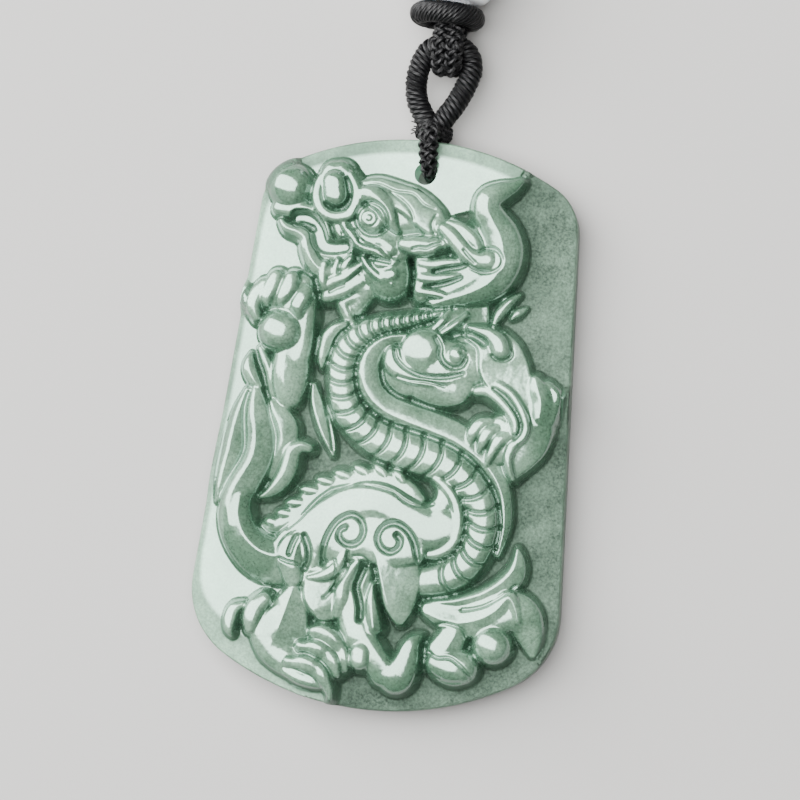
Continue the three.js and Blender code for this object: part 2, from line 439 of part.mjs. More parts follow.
// Raises a form along a line of [x, y, half width, top]
function raise(points, form) {
  const [crown, crest = 0, sharpness = 0] = [form].flat();
  const line = smoothLine(points);
  for (let i = 0; i < Math.max(line.length - 1, 1); i += 1) {
    const a = line[i];
    const b = line[Math.min(i + 1, line.length - 1)];
    const reach = Math.max(a[2], b[2]) + (Math.max(a[3], b[3]) - FROSTED_LEVEL) / WALL_SLOPE;
    visitNear(a, b, reach, (cell, distance, t, left, beyond) => {
      const halfWidth = a[2] + (b[2] - a[2]) * t;
      const top = a[3] + (b[3] - a[3]) * t;
      const across = left / halfWidth - crest;
      const fromCrest = across > 0 ? across / (1 - crest) : across / (1 + crest);
      const share = Math.min(Math.hypot(fromCrest, beyond / halfWidth), 1);
      const dome = 1 - Math.sqrt(1 - share ** ROUNDNESS);
      const fall = crown * halfWidth * (dome * (1 - sharpness) + ROOF_FALL * share * sharpness);
      const wall = Math.max(distance - halfWidth, 0) * WALL_SLOPE;
      heights[cell] = Math.max(heights[cell], top - fall - wall);
    });
  }
}

// Cuts an engraved line along points of [x, y]
function engrave(points, halfWidth, depth) {
  const line = smoothLine(points);
  const cut = new Map();
  for (let i = 0; i < line.length - 1; i += 1) {
    visitNear(line[i], line[i + 1], halfWidth, (cell, distance) => {
      const share = Math.max(1 - distance / halfWidth, 0);
      cut.set(cell, Math.max(cut.get(cell) ?? 0, depth * share));
    });
  }
  cut.forEach((deep, cell) => { heights[cell] -= deep; });
}

// Sinks a hollow along a line of [x, y, half width]
function sink(points, floor) {
  const line = smoothLine(points);
  for (let i = 0; i < line.length - 1; i += 1) {
    const a = line[i];
    const b = line[i + 1];
    visitNear(a, b, Math.max(a[2], b[2]) + POCKET_REACH, (cell, distance, t) => {
      const halfWidth = a[2] + (b[2] - a[2]) * t;
      heights[cell] = Math.min(heights[cell], floor + Math.max(distance - halfWidth, 0) * WALL_SLOPE);
    });
  }
}

function raiseAll(figure) {
  figure.forEach(([, crown, points]) => raise(points, crown));
}

// Places along a line of [x, y, half width, top], by a pitch that may grow with the width.
// Each gives the points at a way to its left and a way ahead.
function placesAlong(points, start, end, pitchAt) {
  const line = smoothLine(points, 8);
  const lengths = [0];
  for (let i = 1; i < line.length; i += 1) {
    lengths.push(lengths[i - 1] + Math.hypot(line[i][0] - line[i - 1][0], line[i][1] - line[i - 1][1]));
  }
  const total = lengths[lengths.length - 1];
  const places = [];
  let reached = start;
  while (reached < total - end) {
    const here = reached;
    const next = lengths.findIndex((length) => length > here);
    const a = line[next - 1];
    const b = line[next];
    const stretch = lengths[next] - lengths[next - 1];
    const t = (reached - lengths[next - 1]) / stretch;
    const [x, y, halfWidth, top] = a.map((value, n) => value + (b[n] - value) * t);
    const ux = (b[0] - a[0]) / stretch;
    const uy = (b[1] - a[1]) / stretch;
    const at = (left, ahead) => [x - uy * left + ux * ahead, y + ux * left + uy * ahead];
    places.push({ halfWidth, top, at });
    reached += pitchAt(halfWidth);
  }
  return places;
}

// The row of fins on the dragon's back, each a short leaf leaning backwards
function raiseFins() {
  const [, , spine] = DORSAL[0];
  placesAlong(spine, FIN_START, FIN_END, () => FIN_PITCH).forEach(({ at, halfWidth, top }) => {
    const root = at(FIN_ROOT * halfWidth, FIN_LEAN / 2);
    const tip = at(halfWidth + FIN_REACH, -FIN_LEAN);
    const middle = [(root[0] + tip[0]) / 2, (root[1] + tip[1]) / 2];
    raise([
      [...root, FIN_WIDTH, top + 1],
      [...middle, FIN_WIDTH, top + 2],
      [...tip, FIN_WIDTH / 2, top - 4],
    ], FIN_CROWN);
  });
}

// The belly's plates: bowed cuts across the band, and a cut along each side of it
function cutPlates() {
  const pitchAt = (halfWidth) => PLATE_PITCH + PLATE_GROWTH * halfWidth;
  placesAlong(BELLY, PLATES_START, PLATES_END, pitchAt).forEach(({ at, halfWidth }) => {
    const cut = [-1, -0.5, 0, 0.5, 1].map((across) => {
      const bow = PLATE_BOW * (1 - across * across) - PLATE_BOW / 2 + PLATE_SLANT * across;
      return at(across * halfWidth, bow * halfWidth);
    });
    engrave(cut, PLATE_CUT_WIDTH, PLATE_CUT_DEPTH);
  });
  [-1, 1].forEach((hand) => {
    const places = placesAlong(BELLY, 0, 0, () => EDGE_PITCH);
    const edge = places.map(({ at, halfWidth }) => at(hand * halfWidth, 0));
    engrave(edge, EDGE_CUT_WIDTH, EDGE_CUT_DEPTH);
  });
}

// Whether a point lies inside a smooth closed outline
function isInside(outline, x, y) {
  let inside = false;
  outline.forEach(([xa, ya], i) => {
    const [xb, yb] = outline[(i + 1) % outline.length];
    if ((ya > y) !== (yb > y) && x < ((xb - xa) * (y - ya)) / (yb - ya) + xa) {
      inside = !inside;
    }
  });
  return inside;
}

// The whole carving, from the ground up
function carve() {
  const frosted = smoothLine([...FROSTED_AREA, FROSTED_AREA[0]], 4);
  for (let row = 0; row < FIELD.rows; row += 1) {
    for (let column = 0; column < FIELD.columns; column += 1) {
      const sunk = isInside(frosted, FIELD.left + column * FIELD_STEP, FIELD.bottom + row * FIELD_STEP);
      heights[row * FIELD.columns + column] = sunk ? FROSTED_LEVEL : POLISHED_LEVEL;
    }
  }
  raiseAll(STRANDS);
  raiseAll(DORSAL);
  raiseFins();
  raiseAll(BODY);
  raiseAll(THIGH);
  raise(BELLY, BELLY_CROWN);
  cutPlates();
  raiseAll(BACK_RIM);
  raiseAll(HINDLEG);
  raiseAll(WAVES);
  raiseAll(HORNS);
  raiseAll(HEAD);
  raiseAll(PAW);
  raiseAll(FORELEG);
  LINES.forEach(([, halfWidth, depth, points]) => engrave(points, halfWidth * LINE_FLARE, depth));
  sink(MOUTH, MOUTH_FLOOR);
  soften();
  soften();
}

// Softens the carving once, each cell with its eight neighbours
function soften() {
  const sharp = heights.slice();
  for (let row = 1; row < FIELD.rows - 1; row += 1) {
    for (let column = 1; column < FIELD.columns - 1; column += 1) {
      let sum = 0;
      for (let dr = -1; dr <= 1; dr += 1) {
        for (let dc = -1; dc <= 1; dc += 1) {
          const weight = (2 - Math.abs(dr)) * (2 - Math.abs(dc));
          sum += weight * sharp[(row + dr) * FIELD.columns + column + dc];
        }
      }
      heights[row * FIELD.columns + column] = sum / 16;
    }
  }
}

// Height of the carved face in millimetres above the back, at a place in millimetres
function faceHeight(x, y) {
  const column = (x / UNIT_X - FIELD.left) / FIELD_STEP;
  const row = (y / UNIT_Y - FIELD.bottom) / FIELD_STEP;
  const c = Math.min(Math.max(Math.floor(column), 0), FIELD.columns - 2);
  const r = Math.min(Math.max(Math.floor(row), 0), FIELD.rows - 2);
  const u = Math.min(Math.max(column - c, 0), 1);
  const v = Math.min(Math.max(row - r, 0), 1);
  const cell = r * FIELD.columns + c;
  const low = heights[cell] * (1 - u) + heights[cell + 1] * u;
  const high = heights[cell + FIELD.columns] * (1 - u) + heights[cell + FIELD.columns + 1] * u;
  return FROSTED_GROUND + (low * (1 - v) + high * v - FROSTED_LEVEL) * UNIT_Z;
}

// One quarter of the plaque's outline, from its side to its middle, for an upper end
function quarterOutline(taper, arcRadius, cornerRadius, inset) {
  const lean = Math.hypot(1, taper);
  const arcY = PLAQUE_HEIGHT / 2 - arcRadius;
  const offset = PLAQUE_WIDTH / 2 - cornerRadius * lean;
  const half = taper * offset + arcY;
  const rest = offset * offset + arcY * arcY - (arcRadius - cornerRadius) ** 2;
  const cornerY = (half + Math.sqrt(half * half - lean * lean * rest)) / (lean * lean);
  const cornerX = offset - taper * cornerY;
  const from = Math.atan2(taper, 1);
  const to = Math.atan2(cornerY - arcY, cornerX);
  const points = [];
  for (let k = 0; k <= CORNER_STEPS; k += 1) {
    const angle = from + ((to - from) * k) / CORNER_STEPS;
    const radius = cornerRadius - inset;
    points.push([cornerX + radius * Math.cos(angle), cornerY + radius * Math.sin(angle)]);
  }
  for (let k = 1; k <= ARC_STEPS; k += 1) {
    const angle = to + ((Math.PI / 2 - to) * k) / ARC_STEPS;
    points.push([(arcRadius - inset) * Math.cos(angle), arcY + (arcRadius - inset) * Math.sin(angle)]);
  }
  return points;
}

// The whole outline, anticlockwise, set in from the plaque's edge by the inset
function plaqueOutline(inset) {
  const top = quarterOutline(SIDE_TAPER, TOP_ARC_RADIUS, TOP_CORNER_RADIUS, inset);
  const bottom = quarterOutline(-SIDE_TAPER, BOTTOM_ARC_RADIUS, BOTTOM_CORNER_RADIUS, inset);
  return [
    ...top.slice(0, -1),
    ...top.map(([x, y]) => [-x, y]).reverse(),
    ...bottom.slice(0, -1).map(([x, y]) => [-x, -y]),
    ...bottom.map(([x, y]) => [x, -y]).reverse(),
  ];
}

// Where the ray from the middle towards [x, y] meets an outline
function meetOutline(outline, x, y) {
  for (let i = 0; i < outline.length; i += 1) {
    const [xa, ya] = outline[i];
    const [xb, yb] = outline[(i + 1) % outline.length];
    const sideA = x * ya - y * xa;
    const sideB = x * yb - y * xb;
    if (sideA <= 0 && sideB > 0 && x * (xa + xb) + y * (ya + yb) > 0) {
      const t = sideA / (sideA - sideB);
      return [xa + (xb - xa) * t, ya + (yb - ya) * t];
    }
  }
  return outline[0];
}

// The lattice's points: a square grid drawn out to the outline of the front face
function latticePoints() {
  const outline = plaqueOutline(FRONT_EDGE_RADIUS);
  const points = [];
  for (let j = 0; j <= LATTICE; j += 1) {
    for (let i = 0; i <= LATTICE; i += 1) {
      const s = (2 * i) / LATTICE - 1;
      const t = (2 * j) / LATTICE - 1;
      const ring = Math.max(Math.abs(s), Math.abs(t));
      let x = (s * PLAQUE_WIDTH) / 2;
      let y = (t * PLAQUE_HEIGHT) / 2;
      if (ring > 0) {
        const [edgeX, edgeY] = meetOutline(outline, x, y);
        const stretch = (Math.hypot(edgeX, edgeY) * ring) / Math.hypot(x, y);
        const bend = 1 + (stretch - 1) * ring ** 2;
        x *= bend;
        y *= bend;
      }
      points.push([x, y, faceHeight(x, y)]);
    }
  }
  return points;
}

// Right triangles that split in two along their long side, down to single lattice steps
function splitTriangle([ax, ay, bx, by, cx, cy]) {
  const mx = (ax + bx) / 2;
  const my = (ay + by) / 2;
  return [[cx, cy, ax, ay, mx, my], [bx, by, cx, cy, mx, my]];
}

// Facets of the front face, fine where the carving bends and coarse where it is flat
function frontFacets(points) {
  const size = LATTICE + 1;
  const strayed = new Float64Array(size * size);
  const levels = [[[0, 0, LATTICE, LATTICE, LATTICE, 0], [LATTICE, LATTICE, 0, 0, 0, LATTICE]]];
  const depth = 2 * Math.log2(LATTICE);
  while (levels.length < depth) {
    levels.push(levels[levels.length - 1].flatMap(splitTriangle));
  }
  const middleOf = ([ax, ay, bx, by]) => ((ay + by) / 2) * size + (ax + bx) / 2;
  levels.reverse().forEach((triangles, level) => {
    triangles.forEach((triangle) => {
      const [ax, ay, bx, by] = triangle;
      const a = points[ay * size + ax];
      const b = points[by * size + bx];
      const middle = middleOf(triangle);
      const m = points[middle];
      const onEdge = (ax === bx && ax % LATTICE === 0) || (ay === by && ay % LATTICE === 0);
      const sideways = onEdge ? Math.hypot(m[0] - (a[0] + b[0]) / 2, m[1] - (a[1] + b[1]) / 2) : 0;
      const slope = (b[2] - a[2]) / Math.hypot(b[0] - a[0], b[1] - a[1]);
      const gap = Math.abs(m[2] - (a[2] + b[2]) / 2) / Math.hypot(1, slope);
      let worst = Math.max(gap, sideways * OUTLINE_CARE, strayed[middle]);
      if (level > 0) {
        splitTriangle(triangle).forEach((child) => { worst = Math.max(worst, strayed[middleOf(child)]); });
      }
      strayed[middle] = worst;
    });
  });
  const facets = [];
  const collect = (triangle) => {
    const [ax, ay, bx, by, cx, cy] = triangle;
    const canSplit = Math.abs(ax - cx) + Math.abs(ay - cy) > 1;
    if (canSplit && strayed[middleOf(triangle)] > CARVING_TOLERANCE) {
      splitTriangle(triangle).forEach(collect);
    } else {
      facets.push([ay * size + ax, cy * size + cx, by * size + bx]);
    }
  };
  levels[levels.length - 1].forEach(collect);
  return facets;
}

// The plaque's solid: carved front, rounded front edge, side wall, chamfer and flat back
function plaqueGeometry() {
  const points = latticePoints();
  const size = LATTICE + 1;
  const facets = frontFacets(points);
  const vertices = [];
  const numbers = new Map();
  const numberOf = (index) => {
    if (!numbers.has(index)) {
      numbers.set(index, vertices.length);
      vertices.push(points[index]);
    }
    return numbers.get(index);
  };
  const triangles = facets.map(([a, b, c]) => [numberOf(a), numberOf(b), numberOf(c)]);
  const rimWalk = [];
  [[0, 1], [LATTICE, size], [size * size - 1, -1], [LATTICE * size, -size]].forEach(([corner, step]) => {
    for (let k = 0; k < LATTICE; k += 1) {
      rimWalk.push(corner + k * step);
    }
  });
  const rim = rimWalk.filter((index) => numbers.has(index));
  const rings = [];
  for (let k = 1; k <= EDGE_STEPS; k += 1) {
    const angle = ((k / EDGE_STEPS) * Math.PI) / 2;
    const inset = FRONT_EDGE_RADIUS * (1 - Math.sin(angle));
    const drop = FRONT_EDGE_RADIUS * (1 - Math.cos(angle));
    rings.push({ inset, drop });
  }
  rings.push({ inset: 0, level: BACK_CHAMFER }, { inset: BACK_CHAMFER, level: 0 });
  let inner = rim.map((index) => numbers.get(index));
  rings.forEach(({ inset, drop, level }) => {
    const outline = plaqueOutline(inset);
    const outer = rim.map((index) => {
      const [x, y, z] = points[index];
      vertices.push([...meetOutline(outline, x, y), level ?? z - drop]);
      return vertices.length - 1;
    });
    inner.forEach((a, i) => {
      const next = (i + 1) % inner.length;
      triangles.push([a, outer[i], outer[next]], [a, outer[next], inner[next]]);
    });
    inner = outer;
  });
  const back = inner.map((index) => new THREE.Vector2(vertices[index][0], vertices[index][1]));
  THREE.ShapeUtils.triangulateShape(back, []).forEach(([a, b, c]) => {
    triangles.push([inner[a], inner[c], inner[b]]);
  });
  const geometry = new THREE.BufferGeometry();
  geometry.setAttribute('position', new THREE.Float32BufferAttribute(vertices.flat(), 3));
  geometry.setIndex(triangles.flat());
  return geometry;
}

// Solids that can be joined and cut
const wasm = await Module();
wasm.setup();

function toSolid(geometry) {
  const bare = geometry.clone();
  bare.deleteAttribute('normal');
  bare.deleteAttribute('uv');
  const merged = mergeVertices(bare, MERGE_DISTANCE);
  return new wasm.Manifold(new wasm.Mesh({
    numProp: 3,
    vertProperties: new Float32Array(merged.attributes.position.array),
    triVerts: new Uint32Array(merged.index.array),
  }));
}

function toGeometry(solid) {
  const { vertProperties, triVerts } = solid.getMesh();
  const geometry = new THREE.BufferGeometry();
  geometry.setAttribute('position', new THREE.Float32BufferAttribute(vertProperties, 3));
  geometry.setIndex(Array.from(triVerts));
  geometry.computeVertexNormals();
  return geometry;
}

// A bar of one section drawn along a smooth curve
function sweep(points, section, steps) {
  const curve = new THREE.CatmullRomCurve3(points.map(([x, y, z]) => new THREE.Vector3(x, y, z)));
  return new THREE.ExtrudeGeometry(section, { steps, bevelEnabled: false, extrudePath: curve });
}

function roundSection(diameter, sides) {
  const shape = new THREE.Shape();
  for (let k = 0; k < sides; k += 1) {
    const angle = (k / sides) * 2 * Math.PI;
    const point = [(diameter / 2) * Math.cos(angle), (diameter / 2) * Math.sin(angle)];
    if (k === 0) {
      shape.moveTo(...point);
    } else {
      shape.lineTo(...point);
    }
  }
  return shape;
}

// A flat section with round ends, its width across and its thickness along the second axis
function stadiumSection(width, thickness, steps) {
  const straight = (width - thickness) / 2;
  const shape = new THREE.Shape();
  shape.moveTo(straight, -thickness / 2);
  [[straight, -Math.PI / 2], [-straight, Math.PI / 2]].forEach(([centre, start]) => {
    for (let k = 0; k <= steps; k += 1) {
      const angle = start + (k / steps) * Math.PI;
      shape.lineTo(centre + (thickness / 2) * Math.cos(angle), (thickness / 2) * Math.sin(angle));
    }
  });
  return shape;
}

// A turned disc about an axis along +Y, its profile rounded at both rims
function roundedDisc(radius, length, edge, sides) {
  const profile = [new THREE.Vector2(0, -length / 2)];
  [[-length / 2 + edge, -Math.PI / 2], [length / 2 - edge, 0]].forEach(([y, start]) => {
    for (let k = 0; k <= DISC_EDGE_STEPS; k += 1) {
      const angle = start + (k / DISC_EDGE_STEPS) * (Math.PI / 2);
      profile.push(new THREE.Vector2(radius - edge + edge * Math.cos(angle), y + edge * Math.sin(angle)));
    }
  });
  profile.push(new THREE.Vector2(0, length / 2));
  return new THREE.LatheGeometry(profile, sides);
}

// The plaque with its cord hole and the notch for the loop's rear leg
function makePlaque() {
  carve();
  const hole = new THREE.CylinderGeometry(HOLE_DIAMETER / 2, HOLE_DIAMETER / 2, HOLE_CUT_LENGTH, HOLE_SIDES);
  hole.rotateX(Math.PI / 2);
  hole.translate(HOLE_X, HOLE_Y, 0);
  const notchEnd = PLAQUE_HEIGHT / 2 + 1;
  const notch = new THREE.Shape();
  notch.moveTo(-HOLE_DIAMETER / 2, -1);
  notch.lineTo(HOLE_DIAMETER / 2, -1);
  notch.absarc(0, LEG_REAR_Z, HOLE_DIAMETER / 2, 0, Math.PI, false);
  const slot = new THREE.ExtrudeGeometry(notch, {
    depth: notchEnd - HOLE_Y,
    bevelEnabled: false,
    curveSegments: HOLE_SIDES / 2,
  });
  slot.rotateX(Math.PI / 2);
  slot.translate(HOLE_X, notchEnd, 0);
  return toGeometry(toSolid(plaqueGeometry()).subtract(toSolid(hole)).subtract(toSolid(slot)));
}

// The hanging loop: an oval of wrapped cord, its binding, and the leg through the hole
function makeHangingLoop() {
  const ovalLine = OVAL_LINE.map(([x, y]) => [BINDING_X + x, BINDING_Y + y, LOOP_CORD_HEIGHT]);
  const oval = sweep(ovalLine, roundSection(LOOP_CORD_DIAMETER, CORD_SIDES), OVAL_STEPS);
  const binding = roundedDisc(BINDING_RADIUS, BINDING_LENGTH, BINDING_EDGE, BINDING_SIDES);
  binding.translate(BINDING_X, BINDING_Y, LOOP_CORD_HEIGHT);
  const legLine = [
    [BINDING_Y, LEG_FRONT_Z - 2.3],
    [BINDING_Y - 0.3, LEG_FRONT_Z - 1],
    [TOP_Y + 0.1, LEG_FRONT_Z + 0.1],
    [TOP_Y - 1.4, LEG_FRONT_Z + 0.05],
    [TOP_Y - 2.6, LEG_FRONT_Z - 0.05],
    [HOLE_Y + 0.25, LEG_FRONT_Z - 0.65],
    [HOLE_Y, LEG_FRONT_Z - 1.6],
    [HOLE_Y, LEG_REAR_Z + 1.7],
    [HOLE_Y + 0.1, LEG_REAR_Z + 0.55],
    [HOLE_Y + 0.9, LEG_REAR_Z],
    [TOP_Y - 1.2, LEG_REAR_Z],
    [TOP_Y + 0.5, LEG_REAR_Z],
    [BINDING_Y - 0.1, LEG_REAR_Z + 0.6],
    [BINDING_Y, LEG_REAR_Z + 1.7],
  ].map(([y, z]) => [HOLE_X, y, z]);
  const leg = sweep(legLine, roundSection(LEG_DIAMETER, CORD_SIDES), OVAL_STEPS);
  return toGeometry(toSolid(oval).add(toSolid(binding)).add(toSolid(leg)));
}

// The link: a flat bound loop from the collar, round the far end of the hanging loop
function makeLink() {
  const clear = LOOP_CORD_DIAMETER / 2 + CORD_CLEARANCE + LINK_THICKNESS / 2;
  const hold = BINDING_Y + LOOP_REACH;
  const end = COLLAR_Y - COLLAR_LENGTH / 2 - CORD_CLEARANCE;
  const route = [[end, LOOP_CORD_HEIGHT + clear]];
  for (let k = 0; k <= LINK_BEND_STEPS; k += 1) {
    const angle = (k / LINK_BEND_STEPS) * Math.PI;
    route.push([hold - (clear + LINK_SLACK) * Math.sin(angle), LOOP_CORD_HEIGHT + clear * Math.cos(angle)]);
  }
  route.push([end, LOOP_CORD_HEIGHT - clear]);
  const section = stadiumSection(LINK_WIDTH, LINK_THICKNESS, CORD_SIDES / 2);
  return sweep(route.map(([y, z]) => [LINK_X, y, z]), section, LINK_STEPS);
}

// The bead: turned, fuller at its middle than at its ends, bored for the cord
function makeBead() {
  const profile = [new THREE.Vector2(BEAD_BORE / 2, -BEAD_LENGTH / 2)];
  for (let k = 0; k <= BEAD_STEPS; k += 1) {
    const share = (2 * k) / BEAD_STEPS - 1;
    const radius = BEAD_DIAMETER / 2 - ((BEAD_DIAMETER - BEAD_END_DIAMETER) / 2) * share ** 4;
    profile.push(new THREE.Vector2(radius, (share * BEAD_LENGTH) / 2));
  }
  profile.push(new THREE.Vector2(BEAD_BORE / 2, BEAD_LENGTH / 2), profile[0].clone());
  return new THREE.LatheGeometry(profile, BEAD_SIDES);
}

// The neck cord's two uncoiled stretches, from the bead to the coil and back
const coilOuterRadius = COIL_INNER_RADIUS + COIL_TURNS * COIL_PITCH;
const coilSolidRadius = coilOuterRadius + NECK_CORD_DIAMETER / 2;
const coilY = BEAD_Y + BEAD_LENGTH / 2 + COIL_DISTANCE;
// How far below its centre the coil's outline meets a stretch that runs in along its side
const coilReach = CORD_CLEARANCE
  + Math.sqrt(coilSolidRadius ** 2 - (coilOuterRadius - NECK_CORD_DIAMETER / 2) ** 2);

function makeLead(hand, coilZ) {
  const exitX = COLLAR_X + hand * (NECK_CORD_DIAMETER / 2 + CORD_CLEARANCE / 2);
  const exitY = BEAD_Y + BEAD_LENGTH / 2;
  const exitZ = BEAD_DIAMETER / 2;
  const low = NECK_CORD_DIAMETER / 2 + CORD_CLEARANCE / 2;
  const side = COLLAR_X + hand * coilOuterRadius;
  const fall = [[0, -1.5, exitZ], [0, 0.6, exitZ], [1, 3.4, exitZ - 1], [3, 7, low + 1.2], [6.2, 11, low]];
  const route = [
    ...fall.map(([across, along, z]) => [exitX + hand * across, exitY + along, z]),
    [exitX + hand * LEAD_SPREAD, exitY + LEAD_RUN, (low + coilZ) / 2],
    [side, coilY - coilReach, coilZ],
  ];
  return sweep(route, roundSection(NECK_CORD_DIAMETER, CORD_SIDES), LEAD_STEPS);
}

// The coil's outer shape: a flat ring two cords high
function makeCoil() {
  const inner = COIL_INNER_RADIUS - NECK_CORD_DIAMETER / 2;
  const height = COIL_LAYERS * NECK_CORD_DIAMETER + LAYER_SLACK;
  const round = NECK_CORD_DIAMETER / 2;
  const corners = [
    [coilSolidRadius - round, round, -Math.PI / 2],
    [coilSolidRadius - round, height - round, 0],
    [inner + round, height - round, Math.PI / 2],
    [inner + round, round, Math.PI],
  ];
  const profile = corners.flatMap(([x, z, start]) => [start, start + Math.PI / 2].map((angle) => (
    new THREE.Vector2(x + round * Math.cos(angle), z + round * Math.sin(angle)))));
  profile.push(profile[0].clone());
  return new THREE.LatheGeometry(profile, COIL_SIDES).rotateX(Math.PI / 2);
}


function makeMaterial(name, color, roughness) {
  return new THREE.MeshStandardMaterial({ name, color, roughness, metalness: 0 });
}

const jade = makeMaterial('jade', 0xa9c7b3, 0.18);
const blackCord = makeMaterial('black_cord', 0x0b0b0c, 0.6);
const paleBead = makeMaterial('pale_bead', 0xc3c8cc, 0.25);
const pendant = new THREE.Group();

function addPiece(name, geometry, material) {
  const piece = new THREE.Mesh(geometry, material);
  piece.name = name;
  pendant.add(piece);
  return piece;
}

addPiece('jade_plaque', makePlaque(), jade);
addPiece('hanging_loop', makeHangingLoop(), blackCord);
addPiece('link_loop', makeLink(), blackCord);
addPiece('collar_knot', roundedDisc(COLLAR_DIAMETER / 2, COLLAR_LENGTH, COLLAR_EDGE, COLLAR_SIDES), blackCord)
  .position.set(COLLAR_X, COLLAR_Y, COLLAR_DIAMETER / 2);
addPiece('bead', makeBead(), paleBead)
  .position.set(COLLAR_X, BEAD_Y, BEAD_DIAMETER / 2);
const lowLayer = NECK_CORD_DIAMETER / 2 + LAYER_SLACK;
addPiece('neck_cord_left', makeLead(-1, lowLayer), blackCord);
addPiece('neck_cord_right', makeLead(1, lowLayer + NECK_CORD_DIAMETER), blackCord);
addPiece('neck_cord_coil', makeCoil(), blackCord)
  .position.set(COLLAR_X, coilY, 0);

export default pendant;
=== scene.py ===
# A carved jade plaque pendant with a dragon in relief, on wrapped and braided black cord.
# It lies on its back: +X right, +Y to its top, +Z out of the carved face. Sizes are in
# millimetres here and become metres where a mesh is made.
import math

import bpy
import numpy as np
from mathutils import Matrix, Vector


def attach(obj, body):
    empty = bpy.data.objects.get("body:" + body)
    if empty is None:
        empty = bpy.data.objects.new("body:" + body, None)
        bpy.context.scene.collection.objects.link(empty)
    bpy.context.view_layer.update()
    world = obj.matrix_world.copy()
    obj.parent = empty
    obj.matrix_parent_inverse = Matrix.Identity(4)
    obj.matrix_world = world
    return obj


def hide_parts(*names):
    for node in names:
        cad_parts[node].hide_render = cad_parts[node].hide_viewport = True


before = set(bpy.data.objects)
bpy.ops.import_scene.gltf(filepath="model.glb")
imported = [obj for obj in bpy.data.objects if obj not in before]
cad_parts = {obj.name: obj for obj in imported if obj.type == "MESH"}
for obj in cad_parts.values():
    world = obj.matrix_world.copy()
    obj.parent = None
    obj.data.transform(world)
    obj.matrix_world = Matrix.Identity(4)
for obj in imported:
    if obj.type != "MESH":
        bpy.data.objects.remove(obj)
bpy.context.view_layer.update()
MM = 0.001


# The camera stands where the photograph was taken from, close over the face of the
# pendant and a little to its right, rolled so that the plaque leans to the right.
# Its numbers were found by setting the plaque's outline against the photograph.
VIEW_RIGHT = math.radians(6)
VIEW_LOW = math.radians(3)
VIEW_ROLL = math.radians(6.64)
VIEW_DISTANCE = 360
VIEW_TARGET = Vector((0.21, 2.57, 4.0))
SENSOR = 36
LENS = 154.7

back = Vector((
    math.sin(VIEW_RIGHT) * math.cos(VIEW_LOW),
    -math.sin(VIEW_LOW),
    math.cos(VIEW_RIGHT) * math.cos(VIEW_LOW),
))
level_right = Vector((0, 1, 0)).cross(back).normalized()
level_up = back.cross(level_right)
camera_up = level_up * math.cos(VIEW_ROLL) - level_right * math.sin(VIEW_ROLL)
camera_right = level_right * math.cos(VIEW_ROLL) + level_up * math.sin(VIEW_ROLL)
stand = (VIEW_TARGET + back * VIEW_DISTANCE) * MM
camera = bpy.data.objects.new("camera", bpy.data.cameras.new("camera"))
camera.matrix_world = Matrix.Translation(stand) @ Matrix((camera_right, camera_up, back)).transposed().to_4x4()
camera.data.sensor_width = SENSOR
camera.data.lens = LENS
camera.data.clip_start = 0.005
bpy.context.scene.collection.objects.link(camera)
bpy.context.scene.camera = camera


# The neck cord: about 62 cm of limp black braid, whose two ends come out of the bead.
# It is wound into a coil of two layers, one on the other, just above the pendant:
# in along the lower layer, up at the inner turn and out again along the upper one.
NECK_CORD_DIAMETER = 1.8
NECK_SIDES = 20
NECK_STEP = 0.3
NECK_BRAID_PITCH = 2.4
NECK_BRAID_DEPTH = 0.1
LEAD_GAP = 0.15
COLLAR_X = 0.5
BEAD_FAR_Y = 54.8
BEAD_AXIS_Z = 5
COIL_INNER_RADIUS = 6.4
COIL_TURNS = 4.25
COIL_PITCH = 1.85
COIL_Y = 82.3
COIL_RISE = math.radians(150)
LAYER_Z = 0.95
STEPS_PER_TURN = 48


def smooth_line(points, steps=5):
    """A smooth line through given points of any number of values."""
    points = np.array(points, float)
    padded = np.vstack([points[:1], points, points[-1:]])
    line = []
    for p0, p1, p2, p3 in zip(padded, padded[1:], padded[2:], padded[3:]):
        t = np.arange(steps)[:, None] / steps
        line.append(0.5 * (2 * p1 + (p2 - p0) * t + (2 * p0 - 5 * p1 + 4 * p2 - p3) * t ** 2
                           + (3 * p1 - p0 - 3 * p2 + p3) * t ** 3))
    return np.vstack([*line, points[-1:]])


def lengths_along(path):
    return np.concatenate([[0], np.cumsum(np.linalg.norm(np.diff(path, axis=0), axis=1))])


def resample(path, step):
    """The same line with points at an even step."""
    reached = lengths_along(path)
    places = np.linspace(0, reached[-1], max(int(reached[-1] / step), 2) + 1)
    return np.stack([np.interp(places, reached, path[:, k]) for k in range(path.shape[1])], axis=1)


def frames_along(path):
    """Two directions across the path at each point, carried along it without twist."""
    ahead = np.gradient(path[:, :3], axis=0)
    ahead /= np.linalg.norm(ahead, axis=1)[:, None]
    across = np.cross(ahead[0], (0, 0, 1) if abs(ahead[0][2]) < 0.9 else (1, 0, 0))
    firsts = []
    for direction in ahead:
        across = across - direction * (across @ direction)
        across = across / np.linalg.norm(across)
        firsts.append(across)
    firsts = np.array(firsts)
    return firsts, np.cross(ahead, firsts)


